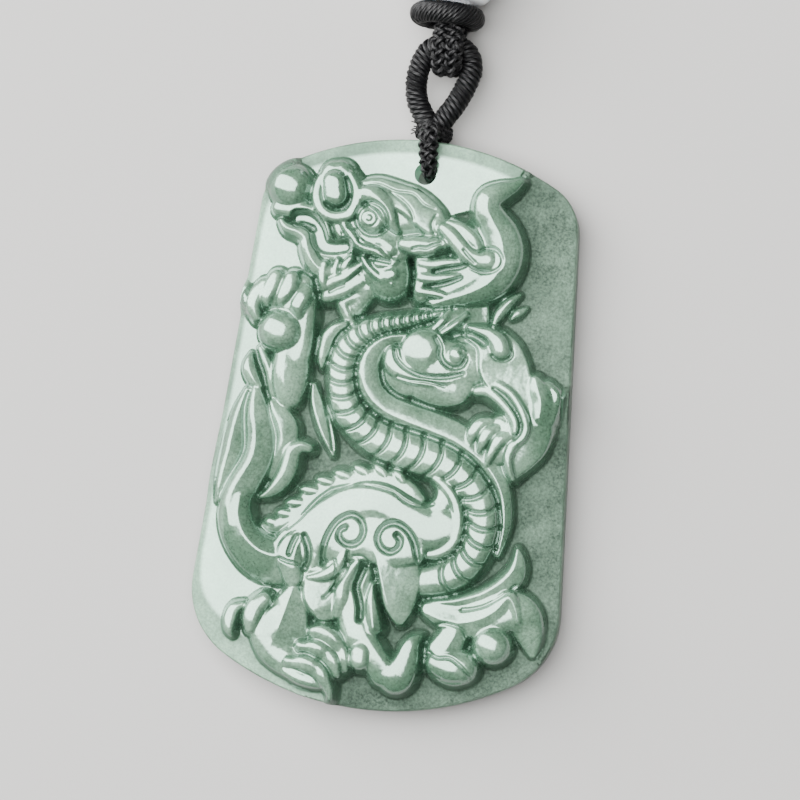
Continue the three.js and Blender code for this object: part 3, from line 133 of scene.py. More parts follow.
def tube(path, radius, sides):
    """A closed tube: its vertices, faces and (along, around) marks. The radius may vary."""
    first, second = frames_along(path)
    angles = np.arange(sides) * 2 * math.pi / sides
    radius = np.broadcast_to(np.asarray(radius, float).reshape(len(np.atleast_1d(radius)), -1), (len(path), sides))
    ring = first[:, None] * np.cos(angles)[:, None] + second[:, None] * np.sin(angles)[:, None]
    vertices = (path[:, None, :3] + ring * radius[..., None]).reshape(-1, 3)
    rows = np.arange(len(path) - 1)[:, None] * sides
    here = np.arange(sides)
    there = (here + 1) % sides
    quads = np.stack([rows + here, rows + there, rows + sides + there, rows + sides + here], axis=-1).reshape(-1, 4)
    caps = [list(here[::-1]), list((len(path) - 1) * sides + here)]
    marks = np.stack(np.broadcast_arrays(lengths_along(path[:, :3])[:, None], angles), axis=-1).reshape(-1, 2)
    return vertices, quads.tolist() + caps, marks


def joined(parts):
    """Several meshes as one."""
    vertices = []
    faces = []
    marks = []
    count = 0
    for part_vertices, part_faces, part_marks in parts:
        vertices.append(part_vertices)
        faces += [[corner + count for corner in face] for face in part_faces]
        marks.append(part_marks)
        count += len(part_vertices)
    return np.vstack(vertices), faces, np.vstack(marks)


def add_piece(name, mesh_parts, material):
    """A smooth-shaded object whose thread marks are kept as attributes."""
    vertices, faces, marks = joined(mesh_parts)
    mesh = bpy.data.meshes.new(name)
    mesh.from_pydata((vertices * MM).tolist(), [], faces)
    for label, column in (("along", 0), ("around", 1)):
        values = mesh.attributes.new(label, "FLOAT", "POINT")
        values.data.foreach_set("value", marks[:, column].astype(np.float32))
    mesh.shade_smooth()
    mesh.materials.append(material)
    piece = bpy.data.objects.new(name, mesh)
    bpy.context.scene.collection.objects.link(piece)
    return piece


def new_material(name, **values):
    """A material with its Principled shader, whose plain values are set on its own sockets."""
    material = bpy.data.materials.new(name)
    material.use_nodes = True
    shader = material.node_tree.nodes["Principled BSDF"]
    for socket, value in values.items():
        shader.inputs[socket.replace("_", " ")].default_value = value
    return material, material.node_tree, shader


def new_group(name, inputs, outputs):
    """A node group with named inputs and outputs, and its two end nodes."""
    group = bpy.data.node_groups.new(name, "ShaderNodeTree")
    for label, kind, value in inputs:
        socket = group.interface.new_socket(label, in_out="INPUT", socket_type=kind)
        if value is not None:
            socket.default_value = value
    for label, kind in outputs:
        group.interface.new_socket(label, in_out="OUTPUT", socket_type=kind)
    return group, group.nodes.new("NodeGroupInput"), group.nodes.new("NodeGroupOutput")


def place_group(tree, group, **values):
    """A node that holds the group, with its own values."""
    node = tree.nodes.new("ShaderNodeGroup")
    node.node_tree = group
    for label, value in values.items():
        node.inputs[label.replace("_", " ")].default_value = value
    return node


def link_math(tree, operation, *terms):
    """A Math node whose terms are sockets or numbers. Returns its output."""
    node = tree.nodes.new("ShaderNodeMath")
    node.operation = operation
    for socket, term in zip(node.inputs, terms):
        if isinstance(term, (int, float)):
            socket.default_value = term
        else:
            tree.links.new(term, socket)
    return node.outputs[0]


def mark_socket(tree, label):
    node = tree.nodes.new("ShaderNodeAttribute")
    node.attribute_name = label
    return node.outputs["Fac"]


# Nylon thread: fine filaments that run along each strand, a little uneven in tone and shine
filaments, taken, given = new_group(
    "Filaments",
    [("Count", "NodeSocketFloat", 9), ("Twist", "NodeSocketFloat", 1), ("Base", "NodeSocketColor", None)],
    [("Color", "NodeSocketColor"), ("Height", "NodeSocketFloat"), ("Roughness", "NodeSocketFloat")],
)
turn = link_math(filaments, "MULTIPLY", mark_socket(filaments, "along"), taken.outputs["Twist"])
spin = link_math(filaments, "MULTIPLY", link_math(filaments, "ADD", mark_socket(filaments, "around"), turn),
                 taken.outputs["Count"])
ridge = link_math(filaments, "SINE", spin)
wander = filaments.nodes.new("ShaderNodeTexNoise")
wander.inputs["Scale"].default_value = 900
wander.inputs["Detail"].default_value = 3
filaments.links.new(link_math(filaments, "ADD", ridge, wander.outputs["Fac"]), given.inputs["Height"])
filaments.links.new(link_math(filaments, "MULTIPLY_ADD", wander.outputs["Fac"], 0.3, 0.28), given.inputs["Roughness"])
shade = filaments.nodes.new("ShaderNodeMix")
shade.data_type = "RGBA"
shade.blend_type = "MULTIPLY"
shade.inputs["Factor"].default_value = 0.6
filaments.links.new(taken.outputs["Base"], shade.inputs["A"])
filaments.links.new(wander.outputs["Color"], shade.inputs["B"])
filaments.links.new(shade.outputs["Result"], given.inputs["Color"])


def thread_material(name, base, count, twist, relief):
    """Black nylon thread with the filaments' look. Relief is in millimetres."""
    material, tree, shader = new_material(name, Specular_IOR_Level=0.22)
    look = place_group(tree, filaments, Count=count, Twist=twist, Base=base)
    bump = tree.nodes.new("ShaderNodeBump")
    bump.inputs["Distance"].default_value = relief * MM
    tree.links.new(look.outputs["Height"], bump.inputs["Height"])
    tree.links.new(look.outputs["Color"], shader.inputs["Base Color"])
    tree.links.new(look.outputs["Roughness"], shader.inputs["Roughness"])
    tree.links.new(bump.outputs["Normal"], shader.inputs["Normal"])
    return material


THREAD_BLACK = (0.002, 0.002, 0.0024, 1)
neck_thread = thread_material("neck cord braid", THREAD_BLACK, 14, 2.6, 0.03)

coil_outer = COIL_INNER_RADIUS + COIL_TURNS * COIL_PITCH


def lead(hand, layer_z):
    """The stretch from inside the bead to the coil's side."""
    x = COLLAR_X + hand * (NECK_CORD_DIAMETER / 2 + LEAD_GAP)
    low = LAYER_Z + 0.1
    side = COLLAR_X + hand * coil_outer
    return [
        (x, BEAD_FAR_Y - 1.5, BEAD_AXIS_Z),
        (x, BEAD_FAR_Y + 0.6, BEAD_AXIS_Z),
        (x + hand * 1, BEAD_FAR_Y + 3.4, BEAD_AXIS_Z - 1),
        (x + hand * 3, BEAD_FAR_Y + 7, low + 1.2),
        (x + hand * 6.2, BEAD_FAR_Y + 11, low),
        (x + hand * 10.4, BEAD_FAR_Y + 15.2, (low + layer_z) / 2),
        (side, COIL_Y - 6.3, layer_z),
    ]


def coil_turns():
    """Clockwise in along the lower layer, up at the inner turn, and out along the upper one."""
    sweep = COIL_TURNS * 2 * math.pi
    count = int(COIL_TURNS * STEPS_PER_TURN)
    points = []
    for k in range(2 * count + 1):
        turned = sweep * k / count
        if turned <= sweep:
            radius = coil_outer + (COIL_INNER_RADIUS - coil_outer) * turned / sweep
            height = LAYER_Z
        else:
            rise = min((turned - sweep) / COIL_RISE, 1)
            run = max(turned - sweep - COIL_RISE, 0) / (sweep - COIL_RISE)
            radius = COIL_INNER_RADIUS + (coil_outer - COIL_INNER_RADIUS) * run
            height = LAYER_Z + NECK_CORD_DIAMETER * rise
        angle = math.pi - turned
        points.append((COLLAR_X + radius * math.cos(angle), COIL_Y + radius * math.sin(angle), height))
    return points


left_lead = smooth_line(lead(-1, LAYER_Z), 8)
right_lead = smooth_line(lead(1, LAYER_Z + NECK_CORD_DIAMETER), 8)[::-1]
neck_path = resample(np.vstack([left_lead, coil_turns(), right_lead]), NECK_STEP)
along = lengths_along(neck_path)[:, None] * 2 * math.pi / NECK_BRAID_PITCH
around = np.arange(NECK_SIDES) * 2 * math.pi / NECK_SIDES
strands = np.maximum(np.cos(2 * around + along), np.cos(2 * around - along))
neck_radius = NECK_CORD_DIAMETER / 2 - NECK_BRAID_DEPTH * (1 - np.abs(strands))
neck_cord = add_piece("neck_cord", [tube(neck_path, neck_radius, NECK_SIDES)], neck_thread)
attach(neck_cord, "root")
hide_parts("neck_cord_left", "neck_cord_right", "neck_cord_coil")


# The hanging loop: one black cord, wound with thread where it makes the oval and braided
# where it passes through the plaque. Its binding holds the oval shut just above the
# plaque, and the tied-off ends of the binding's thread stick out at its left.
HOLE_X = 0.2
HOLE_Y = 26.4
PLAQUE_TOP = 30
BINDING_X = 0.3
BINDING_Y = 31.3
LOOP_HEIGHT = 3.05
OVAL_CORE = 0.74
WINDING_THREAD = 0.26
WINDING_PITCH = -2.6
WINDING_STARTS = 5
STEPS_PER_WIND = 14
THREAD_SIDES = 6
OVAL_ROUTE = [
    (-0.1, -0.1), (-1, 1.2), (-2, 2.9), (-2.35, 4.9), (-2.1, 6.9), (-1.2, 8.6), (0.6, 9.1),
    (2.4, 8.75), (3.3, 7.2), (3, 5.3), (2.1, 3.1), (1, 1.3), (0.1, -0.1),
]
# the leg from the binding over the plaque's top edge, down the hole and back under: x, y, z
LEG_FRONT_Z = 5.95
LEG_REAR_Z = 0.93
LEG_LEAN = 0.4
LEG_RADII = [0.95, 1.02, 1.04, 0.98, 0.9, 0.76, 0.62, 0.6, 0.66, 0.78, 0.79, 0.79, 0.79, 0.79]
LEG_ROUTE = [
    (0, BINDING_Y, LEG_FRONT_Z - 2.3), (0, BINDING_Y - 0.3, LEG_FRONT_Z - 1), (0.1, PLAQUE_TOP + 0.1, LEG_FRONT_Z + 0.1),
    (0.4, PLAQUE_TOP - 1.4, LEG_FRONT_Z + 0.05), (0.7, PLAQUE_TOP - 2.6, LEG_FRONT_Z - 0.1),
    (1, HOLE_Y + 0.25, LEG_FRONT_Z - 0.85), (1, HOLE_Y, LEG_FRONT_Z - 1.9), (1, HOLE_Y, LEG_REAR_Z + 1.7),
    (0.7, HOLE_Y + 0.1, LEG_REAR_Z + 0.55), (0.3, HOLE_Y + 0.9, LEG_REAR_Z), (0, PLAQUE_TOP - 1.2, LEG_REAR_Z),
    (0, PLAQUE_TOP + 0.5, LEG_REAR_Z), (0, BINDING_Y - 0.1, LEG_REAR_Z + 0.6), (0, BINDING_Y, LEG_REAR_Z + 1.7),
]
LEG_BRAID_PITCH = 3.6
BRAID_STRANDS = 4
BRAID_STEP = 0.11
rng = np.random.default_rng(7)


def wound(path, core, thread, pitch, starts):
    """Threads wound side by side round a core along the path. A pitch under 0 winds them the other way."""
    path = resample(path, abs(pitch) / STEPS_PER_WIND / 1.5)
    first, second = frames_along(path)
    reached = lengths_along(path)
    parts = [tube(path, core, 10)]
    for start in range(starts):
        angle = (2 * math.pi * (reached / pitch + start / starts))[:, None]
        line = path + (core + thread * 0.75) * (np.cos(angle) * first + np.sin(angle) * second)
        parts.append(tube(line, thread * (1 + 0.08 * np.sin(reached * 3.1 + start)), THREAD_SIDES))
    return parts


def braided(path, radii, pitch, strand_share=0.36, weave_share=0.16):
    """A round braid of eight strands, four each way, that pass over and under each other."""
    reached = lengths_along(path)
    fine = resample(np.column_stack([path, radii]), BRAID_STEP)
    path, radii = fine[:, :3], fine[:, 3]
    first, second = frames_along(path)
    reached = lengths_along(path)
    middle = radii * (1 - strand_share - weave_share / 2)
    parts = [tube(path, middle * 0.95, 10)]
    turn = 2 * math.pi * reached / pitch
    crossing = BRAID_STRANDS * 2 * turn / (2 * math.pi)
    for hand in (1, -1):
        for number in range(BRAID_STRANDS):
            angle = hand * turn + number * 2 * math.pi / BRAID_STRANDS
            weave = hand * (-1) ** number * np.cos(math.pi * (crossing + hand * number))
            out = middle + radii * weave_share * weave + radii * strand_share * 0.5
            line = path + out[:, None] * (np.cos(angle)[:, None] * first + np.sin(angle)[:, None] * second)
            parts.append(tube(line, radii * strand_share * 0.62, THREAD_SIDES))
    return parts


winding_thread = thread_material("wound thread", THREAD_BLACK, 5, 1.5, 0.02)
oval_path = smooth_line([(BINDING_X + x, BINDING_Y + y, LOOP_HEIGHT) for x, y in OVAL_ROUTE], 10)
leg_path = smooth_line([(HOLE_X + LEG_LEAN * lean, y, z, radius)
                        for (lean, y, z), radius in zip(LEG_ROUTE, LEG_RADII)], 8)
loop_parts = wound(oval_path, OVAL_CORE, WINDING_THREAD, WINDING_PITCH, WINDING_STARTS)
loop_parts += braided(leg_path[:, :3], leg_path[:, 3], LEG_BRAID_PITCH)
# the binding: turns of wound cord packed round the crossing
BINDING_RADIUS = 1.95
BINDING_TURNS = 2
BINDING_CORD = 0.42
BINDING_LENGTH = 1.7
binding_ring = []
for k in range(BINDING_TURNS * 24 + 1):
    angle = 2 * math.pi * k / 24
    binding_ring.append((
        BINDING_X + 0.12 + (BINDING_RADIUS - BINDING_CORD) * math.cos(angle),
        BINDING_Y - 0.35 + (BINDING_LENGTH - 2 * BINDING_CORD) * (k / (BINDING_TURNS * 24) - 0.5) + 0.12 * math.sin(angle),
        LOOP_HEIGHT + (BINDING_RADIUS - BINDING_CORD) * 0.85 * math.sin(angle),
    ))
loop_parts += braided(np.array(binding_ring), np.full(len(binding_ring), BINDING_CORD * 1.15), 2.2)
# the binding's cut ends
for k in range(7):
    start = np.array((BINDING_X - BINDING_RADIUS + 0.35, BINDING_Y - 0.5 + 0.22 * k, LOOP_HEIGHT + rng.uniform(-0.6, 0.9)))
    out = np.array((-rng.uniform(0.35, 0.75), rng.uniform(-0.35, 0.5), rng.uniform(-0.2, 0.3)))
    loop_parts.append(tube(np.array([start, start + out * 0.5 + (0, 0.05, 0), start + out]), 0.07, 5))
hanging_loop = add_piece("hanging_loop_cord", loop_parts, winding_thread)
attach(hanging_loop, "root")
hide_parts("hanging_loop")


# The link: two passes of braided cord, side by side, that come down out of the collar,
# pass round the far end of the oval and go back up, drawn into a round knot over it.
LINK_X = 0.95
LINK_CORD_RADIUS = 1.0
LINK_SPREAD = 0.72
LINK_HOLD_Y = 40.4
LINK_END_Y = 42.4
LINK_CLEAR = 2.1
LINK_CLEAR_BELOW = 1.78
LINK_DROP = 0.25
LINK_STEPS = 12
LINK_BRAID_PITCH = 3.4
link_parts = []
for hand in (-1, 1):
    route = [(LINK_X + hand * LINK_SPREAD * 0.7, LINK_END_Y + 0.4, LOOP_HEIGHT + LINK_CLEAR - 0.7)]
    for k in range(LINK_STEPS + 1):
        angle = math.pi * k / LINK_STEPS
        reach = (LINK_CLEAR + LINK_DROP) * math.sin(angle)
        route.append((
            LINK_X + hand * LINK_SPREAD * (1 + 0.1 * math.sin(2 * angle) - 0.2 * math.sin(angle)),
            LINK_HOLD_Y - reach,
            LOOP_HEIGHT + (LINK_CLEAR if k * 2 < LINK_STEPS else LINK_CLEAR_BELOW) * math.cos(angle) + hand * 0.12,
        ))
    route.append((LINK_X + hand * LINK_SPREAD * 0.7, LINK_END_Y + 0.4, LOOP_HEIGHT - LINK_CLEAR_BELOW + 0.7))
    line = smooth_line(route, 5)
    link_parts += braided(line, np.full(len(line), LINK_CORD_RADIUS), LINK_BRAID_PITCH)
link = add_piece("link_cord", link_parts, winding_thread)
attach(link, "root")
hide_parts("link_loop")


# The collar: a thick ring of black cord wound over with slanting thread, drawn tight
# round the neck cord under the bead.
COLLAR_Y = 43.35
COLLAR_RADIUS = 4
COLLAR_LENGTH = 2.3
COLLAR_THREAD = 0.2
COLLAR_WIND_PITCH = -4.2
COLLAR_STARTS = 12
COLLAR_STEPS = 64
collar_core = COLLAR_LENGTH / 2 - 1.6 * COLLAR_THREAD
ring = []
for k in range(COLLAR_STEPS + 2):
    angle = 2 * math.pi * k / COLLAR_STEPS - math.pi / 2
    reach = COLLAR_RADIUS - COLLAR_LENGTH / 2 - 0.02
    ring.append((COLLAR_X + reach * math.cos(angle), COLLAR_Y, COLLAR_RADIUS + reach * math.sin(angle)))
collar_parts = wound(np.array(ring), collar_core, COLLAR_THREAD, COLLAR_WIND_PITCH, COLLAR_STARTS)
plug = np.array([(COLLAR_X, COLLAR_Y - 0.6, COLLAR_RADIUS), (COLLAR_X, COLLAR_Y, COLLAR_RADIUS), (COLLAR_X, COLLAR_Y + 0.6, COLLAR_RADIUS)])
collar_parts.append(tube(plug, COLLAR_RADIUS - COLLAR_LENGTH / 2, 24))
collar = add_piece("collar_wrap", collar_parts, winding_thread)
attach(collar, "root")
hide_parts("collar_knot")


# The bead: a turned barrel of pale, milky stone, polished all over, with a wide bore that
# both ends of the neck cord pass through.
BEAD_Y = 49.8
BEAD_RADIUS = 5
BEAD_END_RADIUS = 4
BEAD_LENGTH = 10
BEAD_BORE_RADIUS = 2.2
BEAD_LIP = 0.45
BEAD_SIDES = 72
LIP_STEPS = 5


def turned(profile, sides, centre):
    """A body turned about an axis along +Y from a closed profile of (radius, y)."""
    profile = np.array(profile)
    angles = np.arange(sides) * 2 * math.pi / sides
    rings = np.stack([
        centre[0] + profile[:, :1] * np.cos(angles),
        np.broadcast_to(centre[1] + profile[:, 1:], (len(profile), sides)),
        centre[2] + profile[:, :1] * np.sin(angles),
    ], axis=-1)
    count = len(profile)
    faces = []
    for i in range(count):
        for k in range(sides):
            nxt = (k + 1) % sides
            after = (i + 1) % count
            faces.append([i * sides + k, after * sides + k, after * sides + nxt, i * sides + nxt])
    marks = np.stack(np.broadcast_arrays(profile[:, 1:], angles), axis=-1).reshape(-1, 2)
    return rings.reshape(-1, 3), faces, marks


profile = []
for k in range(25):
    share = k / 12 - 1
    radius = BEAD_RADIUS - (BEAD_RADIUS - BEAD_END_RADIUS) * share ** 4
    profile.append((radius - (0.35 * max(abs(share) - 0.93, 0) / 0.07) ** 2, share * (BEAD_LENGTH / 2 - 0.12)))
for end in (1, -1):
    for k in range(LIP_STEPS + 1):
        angle = math.pi / 2 * k / LIP_STEPS
        lip = (BEAD_BORE_RADIUS + BEAD_LIP * (1 - math.sin(angle)), end * (BEAD_LENGTH / 2 - BEAD_LIP * (1 - math.cos(angle))))
        profile.append(lip if end > 0 else None)
profile = [point for point in profile if point]
profile += [(radius, -y) for radius, y in profile[-(LIP_STEPS + 1):]][::-1]
bead_stone, tree, shader = new_material(
    "milky stone", Roughness=0.12, Subsurface_Weight=0.6, Subsurface_Scale=0.002, IOR=1.54)
shader.inputs["Subsurface Radius"].default_value = (1, 0.95, 0.9)
mottle = tree.nodes.new("ShaderNodeTexNoise")
mottle.inputs["Scale"].default_value = 420
mottle.inputs["Detail"].default_value = 4
tint = tree.nodes.new("ShaderNodeValToRGB")
tint.color_ramp.elements[0].color = (0.66, 0.69, 0.72, 1)
tint.color_ramp.elements[0].position = 0.3
tint.color_ramp.elements[1].color = (0.84, 0.86, 0.88, 1)
tint.color_ramp.elements[1].position = 0.62
tree.links.new(mottle.outputs["Fac"], tint.inputs["Fac"])
tree.links.new(tint.outputs["Color"], shader.inputs["Base Color"])
bead = add_piece("bead_stone", [turned(profile, BEAD_SIDES, (COLLAR_X, BEAD_Y, BEAD_AXIS_Z))], bead_stone)
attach(bead, "root")
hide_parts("bead")


# The plaque: one piece of pale green jade, cut to a tablet that widens downwards, with a
# dragon left standing in high relief on a ground that is sunk and frosted at its right
# and polished elsewhere. It is carved with small wheels, smoothed and polished.
PLAQUE_HEIGHT = 60
PLAQUE_WIDTH = 36.4
SIDE_TAPER = 0.0644
TOP_ARC_RADIUS = 28.9
BOTTOM_ARC_RADIUS = 29.9
TOP_CORNER_RADIUS = 5.6
BOTTOM_CORNER_RADIUS = 8.5
POLISHED_GROUND = 4.8
FROSTED_GROUND = 4.1
RELIEF_RISE = 4.3
FRONT_EDGE_RADIUS = 0.8
BACK_CHAMFER = 0.4
HOLE_DIAMETER = 2.3
CORNER_STEPS = 24
ARC_STEPS = 40
EDGE_STEPS = 6
HOLE_SIDES = 64
LATTICE_COLUMNS = 400
LATTICE_ROWS = 640
TRIANGLES = 190000

# the carving is drawn in its own units, a thousand to the plaque's height
UNIT_Y = PLAQUE_HEIGHT / 1000
UNIT_X = PLAQUE_WIDTH / 606.7
FROSTED_LEVEL = 68
UNIT_Z = RELIEF_RISE / 66
POLISHED_LEVEL = FROSTED_LEVEL + (POLISHED_GROUND - FROSTED_GROUND) / UNIT_Z
WALL_SLOPE = 3.5
ROUNDNESS = 2.2
ROOF_FALL = 0.75
BELLY_CROWN = 0.75
POCKET_REACH = 12
MOUTH_FLOOR = 88
FROST_REACH = 6
SAME_SIDE = 0.6
CORNER_PULL = 0.15
FIN_START = 18
FIN_END = 20
FIN_PITCH = 30
FIN_ROOT = 0.45
FIN_REACH = 3
FIN_LEAN = 12
FIN_WIDTH = 9
FIN_CROWN = 0.8
PLATES_START = 18
PLATES_END = 6
PLATE_PITCH = 8
PLATE_GROWTH = 0.68
PLATE_BOW = 0.38
PLATE_SLANT = 0.12
PLATE_CUT_WIDTH = 5
PLATE_CUT_DEPTH = 8
EDGE_PITCH = 12
EDGE_CUT_WIDTH = 4.2
EDGE_CUT_DEPTH = 5
EYE = (-80, 348)
EYE_RINGS = (7, 15)

# strokes: [x, y, half width, top] along a given line, all in carving units of 0.06 mm
FROSTED_AREA = [[180, 470], [420, 470], [420, -560], [-60, -560], [-56, -470], [-110, -400],
        [-140, -300], [-220, -250],
    [-258, -160], [-236, -60], [-214, 60], [-176, 160], [-120, 215], [-60, 300], [0, 350], [128, 400]]

# each figure: name, form, strokes. The form is how high its crown stands for its half width,
# or that with the crest's place across (-1 right edge, 1 left edge) and its sharpness (0 to 1)
HEAD = [
    ["muzzle", 0.7, [[-150, 372, 44, 108], [-110, 372, 44, 114], [-60, 362, 50, 118],
        [-10, 362, 44, 116], [25, 362, 26, 112]]],
    ["upper jaw", 0.7, [[-160, 350, 22, 112], [-118, 338, 26, 116], [-75, 318, 34, 118],
        [-30, 300, 30, 116]]],
    ["cheek mass", 0.7, [[-62, 260, 34, 112], [-40, 262, 42, 117], [-34, 248, 42, 117]]],
    ["chin mass", 0.6, [[-130, 240, 28, 104], [-108, 240, 30, 106], [-80, 235, 30, 104],
        [-90, 200, 22, 96]]],
    ["lip ball", 1.0, [[-224, 391, 44, 128]]],
    ["lip lobe", 0.8, [[-240, 352, 15, 110], [-220, 352, 17, 114], [-198, 352, 14, 115],
        [-176, 346, 12, 116]]],
    ["nose hood", 0.6, [[-152, 420, 24, 120], [-140, 422, 24, 120]]],
    ["nose rim", 0.8, [[-122, 420, 8, 123], [-109, 398, 11, 127], [-105, 374, 11, 128],
        [-115, 352, 11, 128], [-140, 344, 11, 128],
        [-163, 352, 11, 128], [-175, 376, 10, 126], [-174, 402, 9, 122], [-164, 422, 8, 118]]],
    ["nose bulb", 0.85, [[-148, 404, 23, 132], [-143, 382, 23, 133]]],
    ["crest", [0.7, -0.7, 0.6], [[-92, 402, 14, 124], [-72, 402, 19, 126], [-40, 392, 24, 125],
        [-8, 380, 28, 124], [20, 360, 28, 122], [34, 346, 20, 120]]],
    ["brow", [0.7, 0, 0.4], [[-98, 389, 11, 128], [-80, 389, 18, 134], [-60, 375, 17, 134],
        [-47, 355, 13, 131], [-38, 340, 8, 125], [-29, 331, 4, 120]]],
    ["eye ball", 0.85, [[-82, 348, 23, 129], [-69, 342, 17, 126]]],
    ["jaw muscle", 0.8, [[-50, 307, 15, 122], [-40, 300, 16, 122]]],
    ["upper lip", [0.8, 0, 0.3], [[-128, 338, 6, 124], [-113, 322, 9, 126], [-99, 306, 10, 127],
        [-85, 297, 10, 127], [-62, 292, 10, 126], [-42, 281, 8, 121]]],
    ["lower jaw", [0.8, 0, 0.8], [[-236, 330, 4, 108], [-224, 318, 8, 113], [-205, 313, 10, 115],
        [-190, 304, 11, 117], [-183, 284, 12, 118],
        [-173, 266, 13, 118], [-160, 254, 14, 116], [-142, 248, 12, 114]]],
    ["tongue", 0.6, [[-172, 305, 12, 100], [-164, 288, 14, 102], [-140, 282, 14, 100],
        [-112, 286, 12, 100]]],
    ["fang", 0.9, [[-162, 336, 10, 122], [-153, 318, 9, 120], [-141, 298, 4, 112]]],
    ["second tooth", 0.9, [[-137, 334, 8, 120], [-130, 318, 8, 119], [-121, 302, 4, 114]]],
    ["third tooth", 1.0, [[-116, 314, 7, 120], [-111, 302, 7, 118], [-106, 288, 5, 114]]],
    ["chin leaf", 0.9, [[-150, 262, 6, 114], [-152, 248, 8, 116], [-150, 232, 8, 116],
        [-146, 222, 5, 112]]],
    ["chin leaf two", 0.9, [[-128, 270, 5, 112], [-131, 254, 7, 113], [-130, 240, 5, 110]]],
    ["chin leaf three", 0.9, [[-106, 276, 6, 114], [-114, 262, 8, 116], [-116, 250, 5, 112]]],
    ["beard ridge", 0.8, [[-88, 266, 6, 114], [-101, 254, 8, 116], [-114, 242, 9, 116],
        [-132, 233, 9, 114], [-148, 220, 7, 110]]],
    ["beard", 0.6, [[-88, 240, 14, 108], [-112, 224, 16, 110], [-136, 210, 14, 108],
        [-142, 202, 8, 102]]],
    ["beard tail", 0.6, [[-96, 214, 14, 100], [-112, 200, 12, 98], [-104, 180, 10, 94],
        [-96, 168, 8, 90]]],
    ["cheek line", 1.0, [[-84, 280, 5, 118], [-77, 268, 6, 119], [-64, 256, 7, 119],
        [-48, 246, 8, 119], [-30, 240, 8, 118]]],
    ["cheek curl", 0.9, [[-56, 272, 10, 118], [-40, 273, 12, 120], [-28, 278, 8, 118]]],
    ["cheek knob", 0.9, [[-38, 252, 16, 122], [-30, 256, 14, 122]]],
    ["ear", 0.8, [[-14, 309, 12, 128], [6, 309, 18, 130], [26, 309, 18, 130], [46, 313, 13, 128],
        [60, 320, 6, 122]]],
]
HORNS = [
    ["horn web", 0.15, [[30, 270, 26, 106], [60, 262, 30, 108], [100, 262, 34, 110],
        [128, 285, 30, 112], [120, 320, 24, 112], [70, 340, 20, 112]]],
    ["horn web low", 0.15, [[36, 236, 26, 106], [70, 240, 24, 108], [100, 252, 20, 110]]],
    ["horn", [0.9, 0, 0.5], [[174, 442, 6, 100], [160, 430, 12, 108], [138, 418, 19, 116],
        [122, 404, 24, 122], [122, 384, 26, 124], [134, 364, 30, 125],
        [147, 344, 36, 126], [156, 320, 38, 126], [157, 298, 36, 126], [150, 274, 33, 125],
        [133, 254, 29, 123], [108, 239, 22, 120],
        [78, 226, 15, 116], [48, 214, 8, 108]]],
    ["hair root", 0.6, [[22, 282, 16, 116], [24, 262, 15, 116], [22, 240, 15, 116], [24, 224, 13, 114]]],
    ["lock one", 0.9, [[20, 280, 8, 118], [40, 280, 10, 119], [62, 286, 9, 118], [88, 290, 5, 114]]],
    ["lock two", 0.9, [[22, 256, 11, 119], [44, 256, 10, 118], [66, 261, 7, 116], [87, 266, 4, 112]]],
    ["lock three", 0.9, [[22, 232, 10, 118], [42, 231, 9, 116], [60, 229, 7, 114], [75, 226, 4, 110]]],
    ["antler leaf", 0.8, [[58, 354, 7, 120], [82, 345, 13, 122], [102, 330, 15, 122],
        [114, 316, 12, 118]]],
    ["antler", 0.8, [[50, 344, 9, 126], [64, 334, 14, 128], [80, 318, 15, 128], [98, 302, 15, 127],
        [118, 296, 18, 127], [132, 297, 20, 127]]],
    ["nape leaf", [0.7, 0, 0.8], [[192, 246, 3, 88], [177, 232, 8, 93], [164, 214, 9, 94],
        [155, 194, 5, 90]]],
    ["nape leaf two", [0.7, 0, 0.8], [[206, 224, 3, 82], [193, 214, 7, 88], [183, 203, 3, 84]]],
]
PAW = [
    ["hand back", 0.7, [[-184, 222, 20, 113], [-180, 196, 24, 115], [-178, 160, 24, 114],
        [-180, 126, 26, 112], [-184, 98, 28, 113]]],
    ["palm", 0.6, [[-238, 200, 32, 116], [-208, 210, 34, 119], [-198, 188, 34, 118]]],
    ["wrist", [0.8, -0.3, 0.5], [[-190, 100, 32, 115], [-190, 74, 34, 120], [-189, 50, 31, 119],
        [-187, 26, 23, 112]]],
    ["toe one", 0.9, [[-251, 214, 13, 118], [-262, 196, 15, 121], [-266, 176, 14, 121],
        [-258, 157, 9, 116]]],
    ["toe two", 0.9, [[-231, 230, 14, 121], [-237, 212, 16, 125], [-243, 194, 12, 124],
        [-242, 182, 7, 119]]],
    ["toe three", 0.9, [[-203, 230, 15, 123], [-207, 212, 17, 127], [-215, 196, 12, 125],
        [-220, 186, 7, 120]]],
    ["thumb", 0.9, [[-176, 210, 14, 120], [-182, 196, 17, 125], [-187, 182, 14, 125],
        [-184, 168, 9, 118]]],
    ["pearl", 1.0, [[-214, 138, 42, 132]]],
    ["paw leaf", [0.8, 0, 0.8], [[-262, 92, 4, 100], [-262, 70, 11, 109], [-253, 51, 11, 110],
        [-241, 38, 6, 106]]],
    ["paw stalk", [0.8, 0, 0.5], [[-246, 104, 6, 100], [-236, 86, 8, 104], [-226, 66, 8, 104],
        [-218, 40, 8, 102], [-214, 24, 6, 100]]],
]
